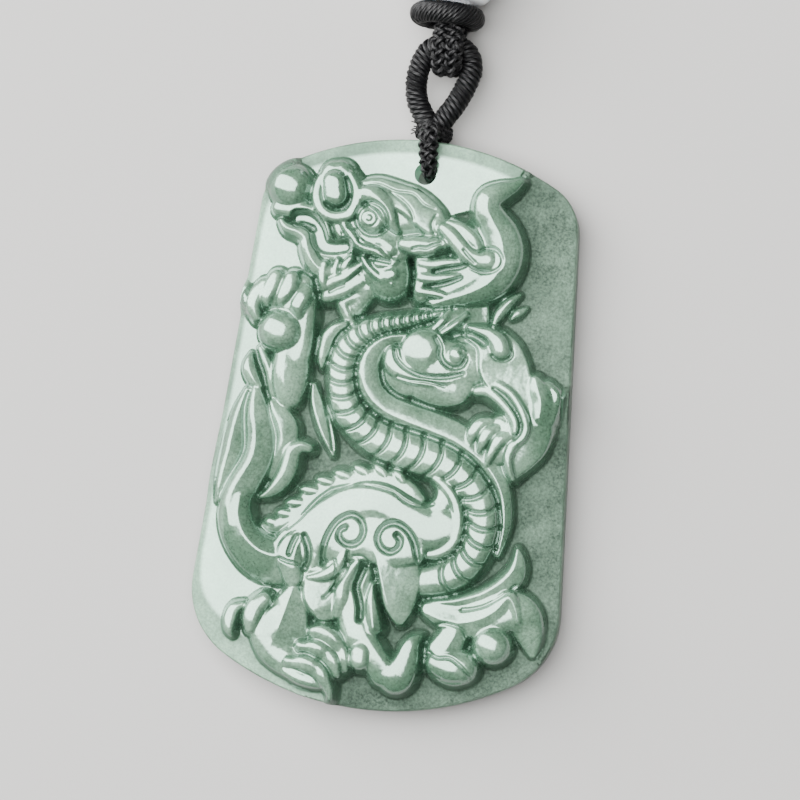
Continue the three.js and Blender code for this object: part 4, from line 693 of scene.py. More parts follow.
STRANDS = [
    ["left strand", [0.8, -0.45, 0.7], [[-258, 28, 8, 104], [-264, -8, 18, 108], [-268, -45, 22, 109],
        [-272, -80, 22, 108], [-279, -112, 18, 106],
        [-287, -145, 10, 102], [-291, -168, 3, 98]]],
    ["second strand", [0.8, -0.5, 0.6], [[-213, 12, 6, 106], [-199, -5, 15, 112],
        [-186, -25, 20, 113], [-181, -46, 19, 112], [-185, -72, 15, 108],
        [-193, -96, 9, 100], [-202, -116, 5, 92]]],
    ["tail tube", [0.9, -0.35, 0.6], [[-244, 30, 8, 108], [-240, 5, 17, 114], [-234, -20, 23, 118],
        [-227, -48, 26, 120], [-226, -75, 26, 121],
        [-232, -100, 26, 121], [-244, -125, 27, 121], [-254, -150, 28, 121], [-257, -178, 29, 121],
        [-251, -205, 30, 119]]],
    ["tail bend", [0.8, 0.2, 0.5], [[-255, -160, 26, 119], [-256, -185, 30, 121],
        [-248, -212, 33, 121], [-232, -235, 36, 121], [-208, -253, 41, 120],
        [-180, -260, 44, 119], [-150, -255, 46, 118]]],
    ["hooked strand", [0.8, -0.3, 0.5], [[-141, -60, 8, 108], [-156, -59, 11, 112],
        [-168, -70, 14, 114], [-171, -90, 16, 114], [-176, -110, 16, 113],
        [-187, -130, 13, 110], [-201, -145, 8, 104], [-216, -153, 3, 98]]],
    ["blade", [0.8, -0.6, 0.8], [[-147, 52, 4, 92], [-139, 24, 10, 98], [-127, -4, 13, 100],
        [-115, -30, 12, 99], [-105, -50, 8, 96], [-99, -66, 3, 92]]],
    ["crescent", [0.6, -0.4, 0.6], [[-104, 162, 5, 100], [-119, 153, 9, 104], [-130, 138, 11, 105],
        [-134, 118, 10, 104], [-137, 98, 7, 101], [-136, 84, 3, 97]]],
]
DORSAL = [
    ["dorsal", 0.6, [[-204, -202, 8, 92], [-188, -203, 11, 98], [-168, -192, 15, 103],
        [-145, -174, 23, 106], [-123, -149, 24, 107], [-96, -128, 23, 107],
        [-68, -112, 20, 107], [-40, -101, 18, 107], [-10, -99, 18, 107], [20, -104, 18, 106],
        [44, -115, 15, 104], [62, -126, 9, 100]]],
]
BODY = [
    ["haunch", 0.35, [[-140, -238, 44, 118], [-106, -206, 43, 122], [-74, -171, 39, 124],
        [-42, -145, 33, 125], [-4, -140, 32, 125], [40, -160, 32, 124],
        [80, -178, 36, 123], [108, -170, 32, 122]]],
    ["haunch bridge", 0.25, [[-70, -205, 46, 122], [-30, -195, 46, 122], [20, -205, 44, 123],
        [60, -215, 24, 120]]],
    ["inner rim", 0.5, [[62, -152, 14, 112], [88, -148, 16, 116], [104, -128, 16, 116],
        [104, -104, 14, 114], [88, -86, 12, 110]]],
    ["flank", [0.8, -0.4, 0.5], [[4, 150, 8, 108], [-26, 141, 14, 114], [-48, 118, 19, 118],
        [-54, 90, 21, 119], [-48, 62, 21, 119], [-32, 40, 21, 118],
        [-6, 24, 22, 117], [30, 13, 23, 117], [70, 3, 24, 116], [110, -9, 24, 115],
        [145, -28, 22, 112], [172, -50, 17, 108], [194, -78, 14, 104],
        [207, -108, 12, 100], [213, -142, 11, 98], [211, -176, 9, 94], [205, -206, 6, 90]]],
    ["neck", [0.6, -0.9, 1], [[114, 216, 28, 100], [110, 190, 34, 106], [100, 166, 34, 110]]],
]
BACK_RIM = [
    ["back rim", 0.8, [[86, -88, 7, 116], [104, -100, 9, 119], [120, -118, 10, 120],
        [130, -140, 11, 120], [134, -165, 11, 120], [130, -190, 11, 119],
        [118, -208, 11, 117], [100, -218, 10, 114], [84, -220, 8, 110]]],
    ["neck rim", [0.8, 0, 0.6], [[36, 164, 4, 112], [54, 171, 6, 114], [66, 184, 7, 114],
        [76, 202, 6, 108]]],
    ["neck line", [0.8, 0, 0.8], [[62, 160, 4, 112], [76, 170, 6, 114], [92, 184, 6, 113],
        [106, 200, 4, 106]]],
]
BELLY = [[62, 199, 7, 104], [45, 193, 9, 108], [20, 184, 13, 112], [-10, 175, 15.5, 116],
        [-35, 168, 17, 118], [-60, 156, 20, 120], [-82, 135, 23, 121], [-95, 110, 24.5, 122],
    [-99, 85, 24.5, 122], [-96, 58, 25.5, 122], [-88, 30, 27, 122], [-74, 6, 29, 122],
        [-52, -14, 31, 122], [-25, -30, 33, 122], [10, -41, 35, 122],
    [50, -50, 36, 122], [90, -60, 35, 122], [120, -74, 33, 122], [146, -95, 31, 122],
        [165, -122, 30, 121], [174, -152, 30, 120], [173, -182, 30, 118],
    [164, -212, 30, 116], [146, -238, 31, 113], [118, -258, 31, 110], [88, -266, 29, 106]]
FORELEG = [
    ["upper arm", [0.6, -0.95, 1], [[120, 168, 12, 114], [150, 160, 24, 118], [170, 140, 36, 120],
        [180, 115, 42, 120], [196, 90, 36, 118], [215, 60, 30, 117],
        [226, 30, 28, 116], [222, 5, 28, 115]]],
    ["arm root", 0.5, [[60, 110, 50, 126], [100, 110, 44, 119], [140, 120, 36, 109]]],
    ["low muscle", [0.6, 0.5, 0.4], [[-4, 104, 22, 119], [0, 84, 24, 118], [14, 72, 23, 116],
        [28, 70, 20, 115]]],
    ["low muscle right", [0.6, 0.5, 0.4], [[44, 68, 24, 117], [72, 66, 29, 118], [98, 68, 28, 118],
        [112, 80, 22, 116]]],
    ["mid lobe", 0.7, [[-12, 118, 14, 122], [-8, 100, 18, 124], [10, 88, 16, 124], [40, 80, 12, 122],
        [80, 82, 10, 120], [106, 92, 8, 118]]],
    ["shoulder ball", [0.6, -0.4, 0.5], [[34, 112, 32, 126], [37, 126, 38, 132], [42, 136, 34, 131]]],
    ["scroll", 0.8, [[99, 128, 16, 129]]],
    ["upper hook", 0.8, [[114, 178, 4, 116], [130, 174, 9, 120], [150, 170, 13, 122],
        [166, 158, 18, 124], [172, 146, 18, 124]]],
    ["elbow tuft", [0.9, 0, 0.6], [[237, 101, 8, 112], [243, 84, 18, 115], [251, 62, 26, 115],
        [251, 36, 26, 114]]],
    ["elbow point", 0.7, [[258, 90, 14, 103], [273, 77, 13, 103], [268, 56, 18, 104],
        [266, 34, 15, 104]]],
    ["hand", [0.7, -0.7, 0.5], [[246, 16, 32, 114], [241, -12, 30, 114], [229, -40, 22, 110],
        [219, -66, 9, 104]]],
    ["palm", 0.5, [[188, 14, 20, 112], [200, 0, 24, 114], [196, -18, 20, 112], [188, -38, 14, 108]]],
    ["cord one", 0.9, [[140, 70, 9, 112], [158, 72, 11, 118], [178, 60, 9, 121], [198, 42, 8, 122],
        [211, 24, 8, 122], [213, 8, 7, 120]]],
    ["cord two", 0.9, [[176, 84, 8, 118], [198, 72, 7, 121], [214, 54, 7, 122], [226, 34, 7, 122],
        [232, 14, 7, 121], [226, -4, 7, 120], [208, -18, 6, 118]]],
    ["toe one", 0.9, [[168, 20, 9, 112], [152, 14, 12, 118], [141, -2, 11, 118], [137, -20, 7, 112]]],
    ["toe two", 0.9, [[180, 8, 10, 116], [167, 0, 12, 121], [160, -15, 10, 120], [156, -30, 6, 114]]],
    ["toe three", 0.9, [[202, -2, 11, 116], [188, -10, 12, 122], [180, -26, 9, 120],
        [174, -42, 7, 116], [170, -54, 4, 110]]],
    ["toe four", 0.9, [[222, -6, 10, 116], [210, -22, 9, 119], [206, -40, 8, 118], [210, -58, 7, 115],
        [218, -74, 4, 110]]],
]
THIGH = [
    ["thigh", [0.6, -0.9, 0.9], [[20, -216, 30, 122], [36, -244, 36, 122], [44, -275, 34, 121],
        [47, -305, 27, 117], [50, -334, 12, 109]]],
]
HINDLEG = [
    ["knee lobe", [0.6, -0.8, 0.9], [[-98, -290, 25, 115], [-90, -310, 33, 117], [-80, -323, 31, 116]]],
    ["knee lobe top", [0.6, 0.8, 0.9], [[-120, -285, 22, 112], [-100, -290, 28, 113],
        [-72, -275, 30, 114], [-50, -262, 24, 114]]],
    ["hip leaf", [0.7, 0, 0.6], [[-129, -205, 4, 112], [-116, -226, 9, 116], [-107, -248, 10, 117],
        [-111, -268, 8, 113], [-122, -281, 5, 108]]],
    ["hip flame", 0.6, [[-138, -205, 4, 118], [-149, -226, 17, 124], [-152, -246, 23, 126],
        [-147, -264, 22, 125], [-141, -286, 17, 119]]],
    ["knee flame", [0.8, 0, 0.6], [[-113, -283, 4, 115], [-93, -278, 8, 118], [-77, -270, 10, 121],
        [-65, -256, 9, 122], [-57, -240, 7, 122], [-50, -226, 3, 120]]],
    ["shin", [0.75, -0.2, 1], [[-138, -306, 9, 116], [-140, -325, 20, 119], [-143, -350, 33, 120],
        [-149, -380, 42, 119], [-156, -405, 42, 112]]],
    ["heel", 0.5, [[-162, -352, 16, 112], [-174, -374, 24, 114], [-180, -392, 24, 113],
        [-160, -418, 26, 110], [-130, -434, 26, 108], [-100, -444, 24, 108]]],
    ["claw one", 0.8, [[-188, -330, 15, 116], [-200, -345, 18, 120], [-205, -364, 16, 120],
        [-205, -380, 11, 116]]],
    ["claw two", 0.8, [[-224, -342, 6, 106], [-238, -351, 11, 110], [-243, -368, 12, 111],
        [-243, -385, 9, 110], [-238, -396, 4, 104]]],
    ["foot back", 0.6, [[-70, -392, 30, 108], [-54, -412, 26, 108], [-50, -434, 16, 104]]],
    ["hind toe one", [0.8, 0.3, 0.2], [[-92, -376, 12, 114], [-76, -377, 17, 120],
        [-60, -386, 18, 119], [-46, -400, 14, 113], [-38, -416, 12, 114], [-34, -432, 7, 108]]],
    ["hind toe two", [0.8, 0.2, 0.2], [[-114, -402, 10, 118], [-100, -402, 11, 117],
        [-84, -403, 15, 123], [-68, -410, 15, 119], [-54, -424, 12, 120], [-47, -442, 8, 112]]],
    ["hind toe three", [0.8, 0.2, 0.2], [[-133, -431, 9, 116], [-118, -431, 11, 116],
        [-100, -431, 15, 122], [-82, -438, 15, 119], [-70, -450, 13, 119], [-58, -470, 8, 110],
        [-54, -486, 4, 103]]],
    ["hind toe four", 0.8, [[-134, -448, 9, 108], [-112, -456, 12, 111], [-92, -460, 12, 110],
        [-76, -464, 8, 106]]],
]
WAVES = [
    ["wave root", 0.6, [[-30, -270, 26, 112], [-34, -300, 28, 110], [-30, -335, 30, 112],
        [-18, -370, 30, 114]]],
    ["wave right", [0.8, 0, 0.8], [[0, -284, 4, 113], [-1, -306, 8, 117], [3, -330, 10, 118],
        [8, -356, 14, 117]]],
    ["wave left", [0.7, 0, 0.5], [[-32, -246, 5, 116], [-42, -262, 8, 118], [-52, -284, 10, 117],
        [-54, -312, 12, 116], [-58, -340, 8, 110]]],
    ["wave foot", [0.6, 0.3, 0.3], [[-16, -372, 26, 114], [2, -394, 26, 116], [20, -414, 24, 117],
        [34, -430, 26, 116]]],
    ["hooked flame", [0.7, 0.2, 0.2], [[46, -436, 26, 114], [56, -436, 30, 119], [66, -424, 26, 120],
        [72, -404, 21, 119], [75, -385, 16, 117], [81, -370, 10, 112], [91, -362, 4, 105]]],
    ["small curl", 0.9, [[-9, -402, 19, 122], [-9, -414, 19, 122]]],
    ["cloud leaf", [0.7, -0.5, 0.7], [[240, -193, 3, 100], [244, -218, 12, 107], [238, -242, 18, 111],
        [218, -264, 18, 112], [192, -282, 16, 112],
        [166, -292, 13, 111], [138, -299, 9, 109], [104, -303, 5, 104]]],
    ["cloud back", 0.4, [[100, -314, 14, 106], [130, -324, 22, 109], [165, -326, 28, 112],
        [200, -316, 34, 114], [236, -300, 36, 112], [260, -308, 34, 104],
        [276, -338, 24, 94], [284, -368, 9, 84]]],
    ["cloud ridge", [0.7, 0, 0.7], [[98, -320, 8, 108], [125, -328, 14, 113], [155, -330, 16, 116],
        [188, -320, 16, 118], [214, -302, 16, 119], [234, -278, 12, 119],
        [247, -294, 9, 116], [254, -316, 6, 112]]],
    ["cloud neck", [0.6, 0, 0.4], [[150, -334, 18, 114], [146, -356, 24, 115], [132, -384, 28, 116]]],
    ["curl ball", 0.9, [[130, -404, 27, 120], [150, -408, 34, 121], [166, -406, 32, 118]]],
    ["cloud ball", 1.0, [[215, -362, 37, 126]]],
]
# engraved lines: name, half width, depth, points
LINES = [
    ["crest lines", 3, 5, [[-49, 397], [-36, 390], [-22, 381], [-10, 369], [-2, 352]]],
    ["crest end", 3, 5, [[34, 366], [29, 350], [35, 334]]],
    ["crest top", 3, 5, [[-94, 404], [-70, 408], [-40, 399], [-10, 398], [10, 382], [30, 376]]],
    ["eye socket", 4, 8, [[-92, 372], [-76, 375], [-58, 367], [-48, 350], [-50, 332], [-64, 321],
        [-82, 321], [-97, 331], [-103, 348], [-99, 364]]],
    ["nostril", 4, 8, [[-128, 413], [-119, 399], [-117, 383], [-126, 366], [-142, 359], [-158, 366]]],
    ["lip groove", 4, 7, [[-100, 292], [-84, 284], [-60, 279], [-36, 276]]],
    ["lip groove top", 3, 6, [[-116, 330], [-98, 322], [-92, 306], [-76, 302], [-58, 302]]],
    ["ear fold", 3, 7, [[2, 302], [14, 306], [26, 306], [36, 312], [50, 318]]],
    ["ear pit", 8, 12, [[48, 300], [54, 306]]],
    ["cheek gap", 5, 22, [[-2, 284], [4, 266], [6, 246], [4, 226]]],
    ["lock gap one", 4, 8, [[42, 268], [62, 275], [84, 280], [98, 287]]],
    ["lock gap two", 4, 8, [[30, 241], [54, 246], [74, 254], [90, 263]]],
    ["antler curl", 3, 6, [[116, 310], [126, 317], [144, 317], [157, 304], [156, 288], [144, 278],
        [126, 275], [108, 280], [97, 288]]],
    ["antler edge", 3, 5, [[90, 310], [102, 298], [112, 290]]],
    ["beard lines", 3, 5, [[-136, 214], [-124, 222], [-112, 228]]],
    ["mid groove", 4, 9, [[-10, 132], [-6, 114], [4, 102], [20, 92], [40, 86], [66, 85], [90, 89],
        [112, 97]]],
    ["low groove", 3, 6, [[0, 80], [24, 76], [54, 76], [84, 72]]],
    ["hook groove", 3, 7, [[158, 134], [168, 128], [182, 128], [192, 137], [190, 149]]],
    ["scroll groove", 5, 10, [[60, 154], [69, 140], [71, 124], [80, 111], [95, 105], [109, 110],
        [114, 124], [106, 135]]],
    ["arm groove", 8, 14, [[142, 154], [132, 160], [118, 165], [100, 166], [86, 161]]],
    ["cord gap", 3, 7, [[168, 78], [188, 66], [206, 48], [219, 28], [222, 10], [214, -6]]],
    ["hip eye", 6, 9, [[-141, -214], [-146, -228], [-150, -245]]],
    ["hip hollow", 6, 12, [[-129, -212], [-120, -230], [-117, -250], [-123, -268]]],
    ["hip line", 3, 7, [[-166, -256], [-150, -260], [-134, -262], [-125, -272]]],
    ["knee line", 3, 6, [[-72, -246], [-66, -262], [-66, -282], [-76, -306], [-84, -314]]],
    ["tuft line", 4, 9, [[-50, -230], [-50, -244], [-50, -262], [-60, -282], [-72, -300]]],
    ["thigh top line", 3, 6, [[-42, -238], [-26, -236], [-10, -246], [0, -251]]],
    ["wave pit", 7, 24, [[-20, -254], [-26, -272], [-30, -290], [-24, -308], [-19, -326], [-18, -344]]],
    ["thigh groove", 5, 16, [[4, -284], [12, -308], [26, -332], [40, -348]]],
    ["rim groove", 3, 6, [[-160, -202], [-140, -182], [-124, -158], [-106, -138], [-86, -124],
        [-50, -115], [-30, -113], [-8, -115], [17, -120], [35, -131],
        [54, -138], [73, -138], [88, -132]]],
    ["left scroll", 6, 11, [[-91, -258], [-93, -235], [-87, -206], [-73, -180], [-51, -167],
        [-33, -175], [-26, -195], [-34, -213], [-51, -219],
        [-66, -211], [-68, -197], [-59, -190]]],
    ["right scroll", 6, 11, [[72, -232], [63, -203], [47, -182], [26, -173], [7, -181], [-1, -200],
        [6, -217], [22, -224], [36, -216], [39, -202], [31, -193]]],
    ["cloud line", 3, 6, [[114, -340], [132, -334], [160, -340], [168, -352]]],
    ["cloud curl line", 3, 7, [[108, -386], [124, -394], [144, -392], [158, -398], [176, -412],
        [186, -424]]],
    ["cloud curl low", 3, 5, [[106, -412], [120, -426], [144, -434], [168, -432]]],
    ["leaf line", 3, 6, [[244, -256], [226, -274], [202, -292], [180, -302], [156, -308]]],
    ["blade line", 3, 6, [[-130, 42], [-122, 14], [-112, -12], [-104, -40], [-100, -58]]],
    ["strand line", 3, 5, [[-258, 26], [-262, -4], [-258, -40], [-254, -72], [-262, -100],
        [-274, -128], [-282, -150]]],
]
# deep pockets cut down to the frosted ground, as lines of [x, y, half width]
MOUTH = [
    [[-206, 336, 9], [-190, 336, 9], [-172, 322, 8], [-160, 296, 9], [-140, 292, 8], [-120, 296, 7]],
]

FIELD_STEP = 1.25
FIELD_LEFT, FIELD_RIGHT, FIELD_BOTTOM, FIELD_TOP = -330, 330, -520, 520
field_xs = np.arange(FIELD_LEFT, FIELD_RIGHT + FIELD_STEP, FIELD_STEP)
field_ys = np.arange(FIELD_BOTTOM, FIELD_TOP + FIELD_STEP, FIELD_STEP)
field_x, field_y = np.meshgrid(field_xs, field_ys)


def window(points, reach):
    """The part of the field within reach of some points."""
    low = points[:, :2].min(axis=0) - reach
    high = points[:, :2].max(axis=0) + reach
    columns = slice(max(int((low[0] - FIELD_LEFT) / FIELD_STEP), 0), max(int((high[0] - FIELD_LEFT) / FIELD_STEP) + 2, 0))
    rows = slice(max(int((low[1] - FIELD_BOTTOM) / FIELD_STEP), 0), max(int((high[1] - FIELD_BOTTOM) / FIELD_STEP) + 2, 0))
    return rows, columns


def measure(part, a, b):
    """The share of the way along the stretch from a to b, how far to its left, and how far beyond it."""
    x, y = field_x[part] - a[0], field_y[part] - a[1]
    dx, dy = b[0] - a[0], b[1] - a[1]
    stretch = math.hypot(dx, dy)
    if stretch == 0:
        return np.zeros_like(x), np.zeros_like(x), np.hypot(x, y)
    along = (x * dx + y * dy) / stretch
    beyond = np.maximum(np.maximum(-along, along - stretch), 0)
    return np.clip(along / stretch, 0, 1), (y * dx - x * dy) / stretch, beyond


def raise_form(heights, points, form, blend):
    """Raises a form along a line of [x, y, half width, top], softly merged at its foot."""
    crown, crest, sharpness = form if isinstance(form, list) else (form, 0, 0)
    line = smooth_line(points if len(points) > 1 else points * 2)
    reach = line[:, 2].max() + (line[:, 3].max() - FROSTED_LEVEL) / WALL_SLOPE + blend
    whole = window(line, reach)
    form = np.full(heights[whole].shape, -1e3)
    for a, b in zip(line, line[1:]):
        part = window(np.stack([a, b]), reach)
        share, left, beyond = measure(part, a, b)
        half_width = a[2] + (b[2] - a[2]) * share
        top = a[3] + (b[3] - a[3]) * share
        across = left / half_width - crest
        across /= np.where(across > 0, 1 - crest, 1 + crest)
        away = np.minimum(np.hypot(across, beyond / half_width), 1)
        dome = 1 - np.sqrt(1 - away ** ROUNDNESS)
        fall = crown * half_width * (dome * (1 - sharpness) + ROOF_FALL * away * sharpness)
        height = top - fall - np.maximum(np.hypot(left, beyond) - half_width, 0) * WALL_SLOPE
        rows = slice(part[0].start - whole[0].start, part[0].start - whole[0].start + height.shape[0])
        columns = slice(part[1].start - whole[1].start, part[1].start - whole[1].start + height.shape[1])
        form[rows, columns] = np.maximum(form[rows, columns], height)
    near = np.maximum(blend - np.abs(form - heights[whole]), 0) / blend
    heights[whole] = np.maximum(form, heights[whole]) + near ** 2 * blend / 4


def engrave(heights, points, half_width, depth):
    """Cuts a line along points of [x, y]."""
    line = smooth_line(points)
    cut = np.zeros_like(heights)
    for a, b in zip(line, line[1:]):
        part = window(np.stack([a, b]), half_width * 1.5)
        _, left, beyond = measure(part, a, b)
        distance = np.hypot(left, beyond)
        cut[part] = np.maximum(cut[part], depth * np.clip(1 - distance / half_width / 1.2, 0, 1) ** 1.3)
    heights -= cut


def sink(heights, points, floor):
    """Sinks a hollow along a line of [x, y, half width]."""
    line = smooth_line(points)
    for a, b in zip(line, line[1:]):
        part = window(np.stack([a, b]), max(a[2], b[2]) + POCKET_REACH)
        share, left, beyond = measure(part, a, b)
        wall = np.maximum(np.hypot(left, beyond) - a[2] - (b[2] - a[2]) * share, 0) * WALL_SLOPE
        heights[part] = np.minimum(heights[part], floor + wall)


def places_along(points, start, end, pitch_at):
    """Places along a line of [x, y, half width, top] with their directions, by a growing pitch."""
    line = smooth_line(points, 8)
    reached = lengths_along(line[:, :2])
    place = start
    while place < reached[-1] - end:
        here, ahead = (
            np.array([np.interp(at, reached, line[:, k]) for k in range(4)]) for at in (place, place + 1)
        )
        direction = (ahead - here)[:2] / np.linalg.norm((ahead - here)[:2])
        yield here, direction, np.array((-direction[1], direction[0]))
        place += pitch_at(here[2])


def raise_fins(heights):
    """The row of fins on the dragon's back, each a short leaf that leans backwards."""
    for place, ahead, side in places_along(DORSAL[0][2], FIN_START, FIN_END, lambda half_width: FIN_PITCH):
        spot, half_width, top = place[:2], place[2], place[3]
        root = spot + side * half_width * FIN_ROOT + ahead * FIN_LEAN / 2
        tip = spot + side * (half_width + FIN_REACH) - ahead * FIN_LEAN
        middle = (root + tip) / 2
        leaf = [[*root, FIN_WIDTH, top + 1], [*middle, FIN_WIDTH, top + 2], [*tip, FIN_WIDTH / 2, top - 4]]
        raise_form(heights, leaf, FIN_CROWN, 1)


def cut_plates(heights):
    """The belly's plates: bowed cuts across the band, and a cut along each side of it."""
    for place, ahead, side in places_along(
            BELLY, PLATES_START, PLATES_END, lambda half_width: PLATE_PITCH + PLATE_GROWTH * half_width):
        half_width = place[2]
        cut = []
        for share in (-1, -0.5, 0, 0.5, 1):
            bow = half_width * (PLATE_BOW * (1 - share * share) - PLATE_BOW / 2 + PLATE_SLANT * share)
            cut.append(place[:2] + side * half_width * share * 0.98 + ahead * bow)
        engrave(heights, cut, PLATE_CUT_WIDTH, PLATE_CUT_DEPTH)
    for hand in (-1, 1):
        edge = [place[:2] + side * place[2] * hand
                for place, _, side in places_along(BELLY, 0, 0, lambda half_width: EDGE_PITCH)]
        engrave(heights, edge, EDGE_CUT_WIDTH, EDGE_CUT_DEPTH)


def engrave_ring(heights, x, y, radius, half_width, depth):
    angles = np.arange(17) * 2 * math.pi / 16
    engrave(heights, np.column_stack([x + radius * np.cos(angles), y + radius * np.sin(angles)]), half_width, depth)


def inside(outline):
    """Where the field lies inside a smooth closed outline."""
    line = smooth_line([*outline, outline[0]], 4)
    within = np.zeros(field_x.shape, bool)
    for (xa, ya), (xb, yb) in zip(line, line[1:]):
        if ya != yb:
            crosses = (ya > field_y) != (yb > field_y)
            within ^= crosses & (field_x < (xb - xa) * (field_y - ya) / (yb - ya) + xa)
    return within


def softened(values, times):
    """The field with each cell averaged with its neighbours, several times over."""
    for _ in range(times):
        padded = np.pad(values, 1, mode="edge")
        values = (padded[:-2] + 2 * padded[1:-1] + padded[2:]) / 4
        values = (values[:, :-2] + 2 * values[:, 1:-1] + values[:, 2:]) / 4
    return values


def carve():
    """The whole carving, from the ground up. Returns its heights and where the ground is frosted."""
    frosted = inside(FROSTED_AREA)
    heights = np.where(frosted, FROSTED_LEVEL, POLISHED_LEVEL).astype(float)
    for group, blend in ((STRANDS, 5), (DORSAL, 5)):
        for _, crown, points in group:
            raise_form(heights, points, crown, blend)
    raise_fins(heights)
    for _, crown, points in BODY + THIGH:
        raise_form(heights, points, crown, 5)
    raise_form(heights, BELLY, BELLY_CROWN, 4)
    cut_plates(heights)
    for group, blend in ((BACK_RIM, 3), (HINDLEG, 4), (WAVES, 4), (HORNS, 3), (HEAD, 3), (PAW, 3), (FORELEG, 3)):
        for _, crown, points in group:
            raise_form(heights, points, crown, blend)
    for _, half_width, depth, points in LINES:
        engrave(heights, points, half_width, depth)
    for radius in EYE_RINGS:
        engrave_ring(heights, *EYE, radius, 2, 3)
    for points in MOUTH:
        sink(heights, points, MOUTH_FLOOR)
    return softened(heights, 2), frosted


def quarter_outline(taper, arc_radius, corner_radius, inset):
    """One quarter of the plaque's outline, from its side to its middle, for an upper end."""
    lean = math.hypot(1, taper)
    arc_y = PLAQUE_HEIGHT / 2 - arc_radius
    offset = PLAQUE_WIDTH / 2 - corner_radius * lean
    half = taper * offset + arc_y
    rest = offset * offset + arc_y * arc_y - (arc_radius - corner_radius) ** 2
    corner_y = (half + math.sqrt(half * half - lean * lean * rest)) / (lean * lean)
    corner_x = offset - taper * corner_y
    start = math.atan2(taper, 1)
    end = math.atan2(corner_y - arc_y, corner_x)
    corner = np.linspace(start, end, CORNER_STEPS + 1)
    arc = np.linspace(end, math.pi / 2, ARC_STEPS + 1)[1:]
    return np.vstack([
        np.column_stack([corner_x + (corner_radius - inset) * np.cos(corner),
                         corner_y + (corner_radius - inset) * np.sin(corner)]),
        np.column_stack([(arc_radius - inset) * np.cos(arc), arc_y + (arc_radius - inset) * np.sin(arc)]),
    ])


def plaque_outline(inset):
    """The whole outline, anticlockwise, set in from the plaque's edge."""
    top = quarter_outline(SIDE_TAPER, TOP_ARC_RADIUS, TOP_CORNER_RADIUS, inset)
    bottom = quarter_outline(-SIDE_TAPER, BOTTOM_ARC_RADIUS, BOTTOM_CORNER_RADIUS, inset)
    return np.vstack([top[:-1], (top * (-1, 1))[::-1], (bottom * (-1, -1))[:-1], (bottom * (1, -1))[::-1]])


def meet_outline(inset, places):
    """Where rays from the middle through the places meet the outline."""
    outline = plaque_outline(inset)
    angles = np.unwrap(np.arctan2(outline[:, 1], outline[:, 0]))
    reach = np.arctan2(places[:, 1], places[:, 0])
    reach = np.where(reach < angles[0], reach + 2 * math.pi, reach)
    corner = np.clip(np.searchsorted(angles, reach, side="right") - 1, 0, len(outline) - 1)
    a = outline[corner]
    b = outline[(corner + 1) % len(outline)]
    ray = np.column_stack([np.cos(reach), np.sin(reach)])
    side_a = ray[:, 0] * a[:, 1] - ray[:, 1] * a[:, 0]
    side_b = ray[:, 0] * b[:, 1] - ray[:, 1] * b[:, 0]
    share = np.where(side_a == side_b, 0, side_a / np.where(side_a == side_b, 1, side_a - side_b))
    return a + (b - a) * share[:, None]


def sampled(field, x, y):
    """A field's values at places in millimetres."""
    column = np.clip((x / UNIT_X - FIELD_LEFT) / FIELD_STEP, 0, field.shape[1] - 1.001)
    row = np.clip((y / UNIT_Y - FIELD_BOTTOM) / FIELD_STEP, 0, field.shape[0] - 1.001)
    c, r = column.astype(int), row.astype(int)
    u, v = column - c, row - r
    low = field[r, c] * (1 - u) + field[r, c + 1] * u
    high = field[r + 1, c] * (1 - u) + field[r + 1, c + 1] * u
    return low * (1 - v) + high * v


def lattice():
    """The carved face as a square grid drawn out to the outline: points and the walk round its rim."""
    s, t = np.meshgrid(np.linspace(-1, 1, LATTICE_COLUMNS), np.linspace(-1, 1, LATTICE_ROWS))
    s, t = s.ravel(), t.ravel()
    ring = np.maximum(np.abs(s), np.abs(t))
    places = np.column_stack([s * PLAQUE_WIDTH / 2, t * PLAQUE_HEIGHT / 2])
    edge = meet_outline(FRONT_EDGE_RADIUS, places)
    stretch = np.linalg.norm(edge, axis=1) * ring / np.maximum(np.linalg.norm(places, axis=1), 1e-9)
    places *= (1 + (stretch - 1) * ring ** 2)[:, None]
    number = np.arange(len(s)).reshape(LATTICE_ROWS, LATTICE_COLUMNS)
    quads = np.stack([number[:-1, :-1], number[:-1, 1:], number[1:, 1:], number[1:, :-1]], axis=-1).reshape(-1, 4)
    rim = np.concatenate([number[0, :-1], number[:-1, -1], number[-1, :0:-1], number[:0:-1, 0]])
    return places, quads, rim


heights, frosted = carve()
heights_mm = FROSTED_GROUND + (heights - FROSTED_LEVEL) * UNIT_Z

places, quads, rim = lattice()
face = np.column_stack([places, sampled(heights_mm, places[:, 0], places[:, 1])])
vertices = [face]
faces = quads.tolist()
count = len(face)
inner = rim
rings = []
for k in range(1, EDGE_STEPS + 1):
    angle = math.pi / 2 * k / EDGE_STEPS
    rings.append((FRONT_EDGE_RADIUS * (1 - math.sin(angle)), FRONT_EDGE_RADIUS * (1 - math.cos(angle)), None))
rings += [(0, 0, BACK_CHAMFER), (BACK_CHAMFER * 0.3, 0, BACK_CHAMFER * 0.3), (BACK_CHAMFER, 0, 0)]
for inset, drop, level in rings:
    edge = meet_outline(inset, face[rim][:, :2])
    height = face[rim][:, 2] - drop if level is None else np.full(len(rim), float(level))
    vertices.append(np.column_stack([edge, height]))
    outer = count + np.arange(len(rim))
    count += len(rim)
    faces += np.stack([inner, outer, np.roll(outer, -1), np.roll(inner, -1)], axis=-1).tolist()
    inner = outer
faces.append(inner[::-1].tolist())
plaque_mesh = bpy.data.meshes.new("jade_plaque_carved")
plaque_mesh.from_pydata((np.vstack(vertices) * MM).tolist(), [], faces)
plaque = bpy.data.objects.new("jade_plaque_carved", plaque_mesh)
bpy.context.scene.collection.objects.link(plaque)


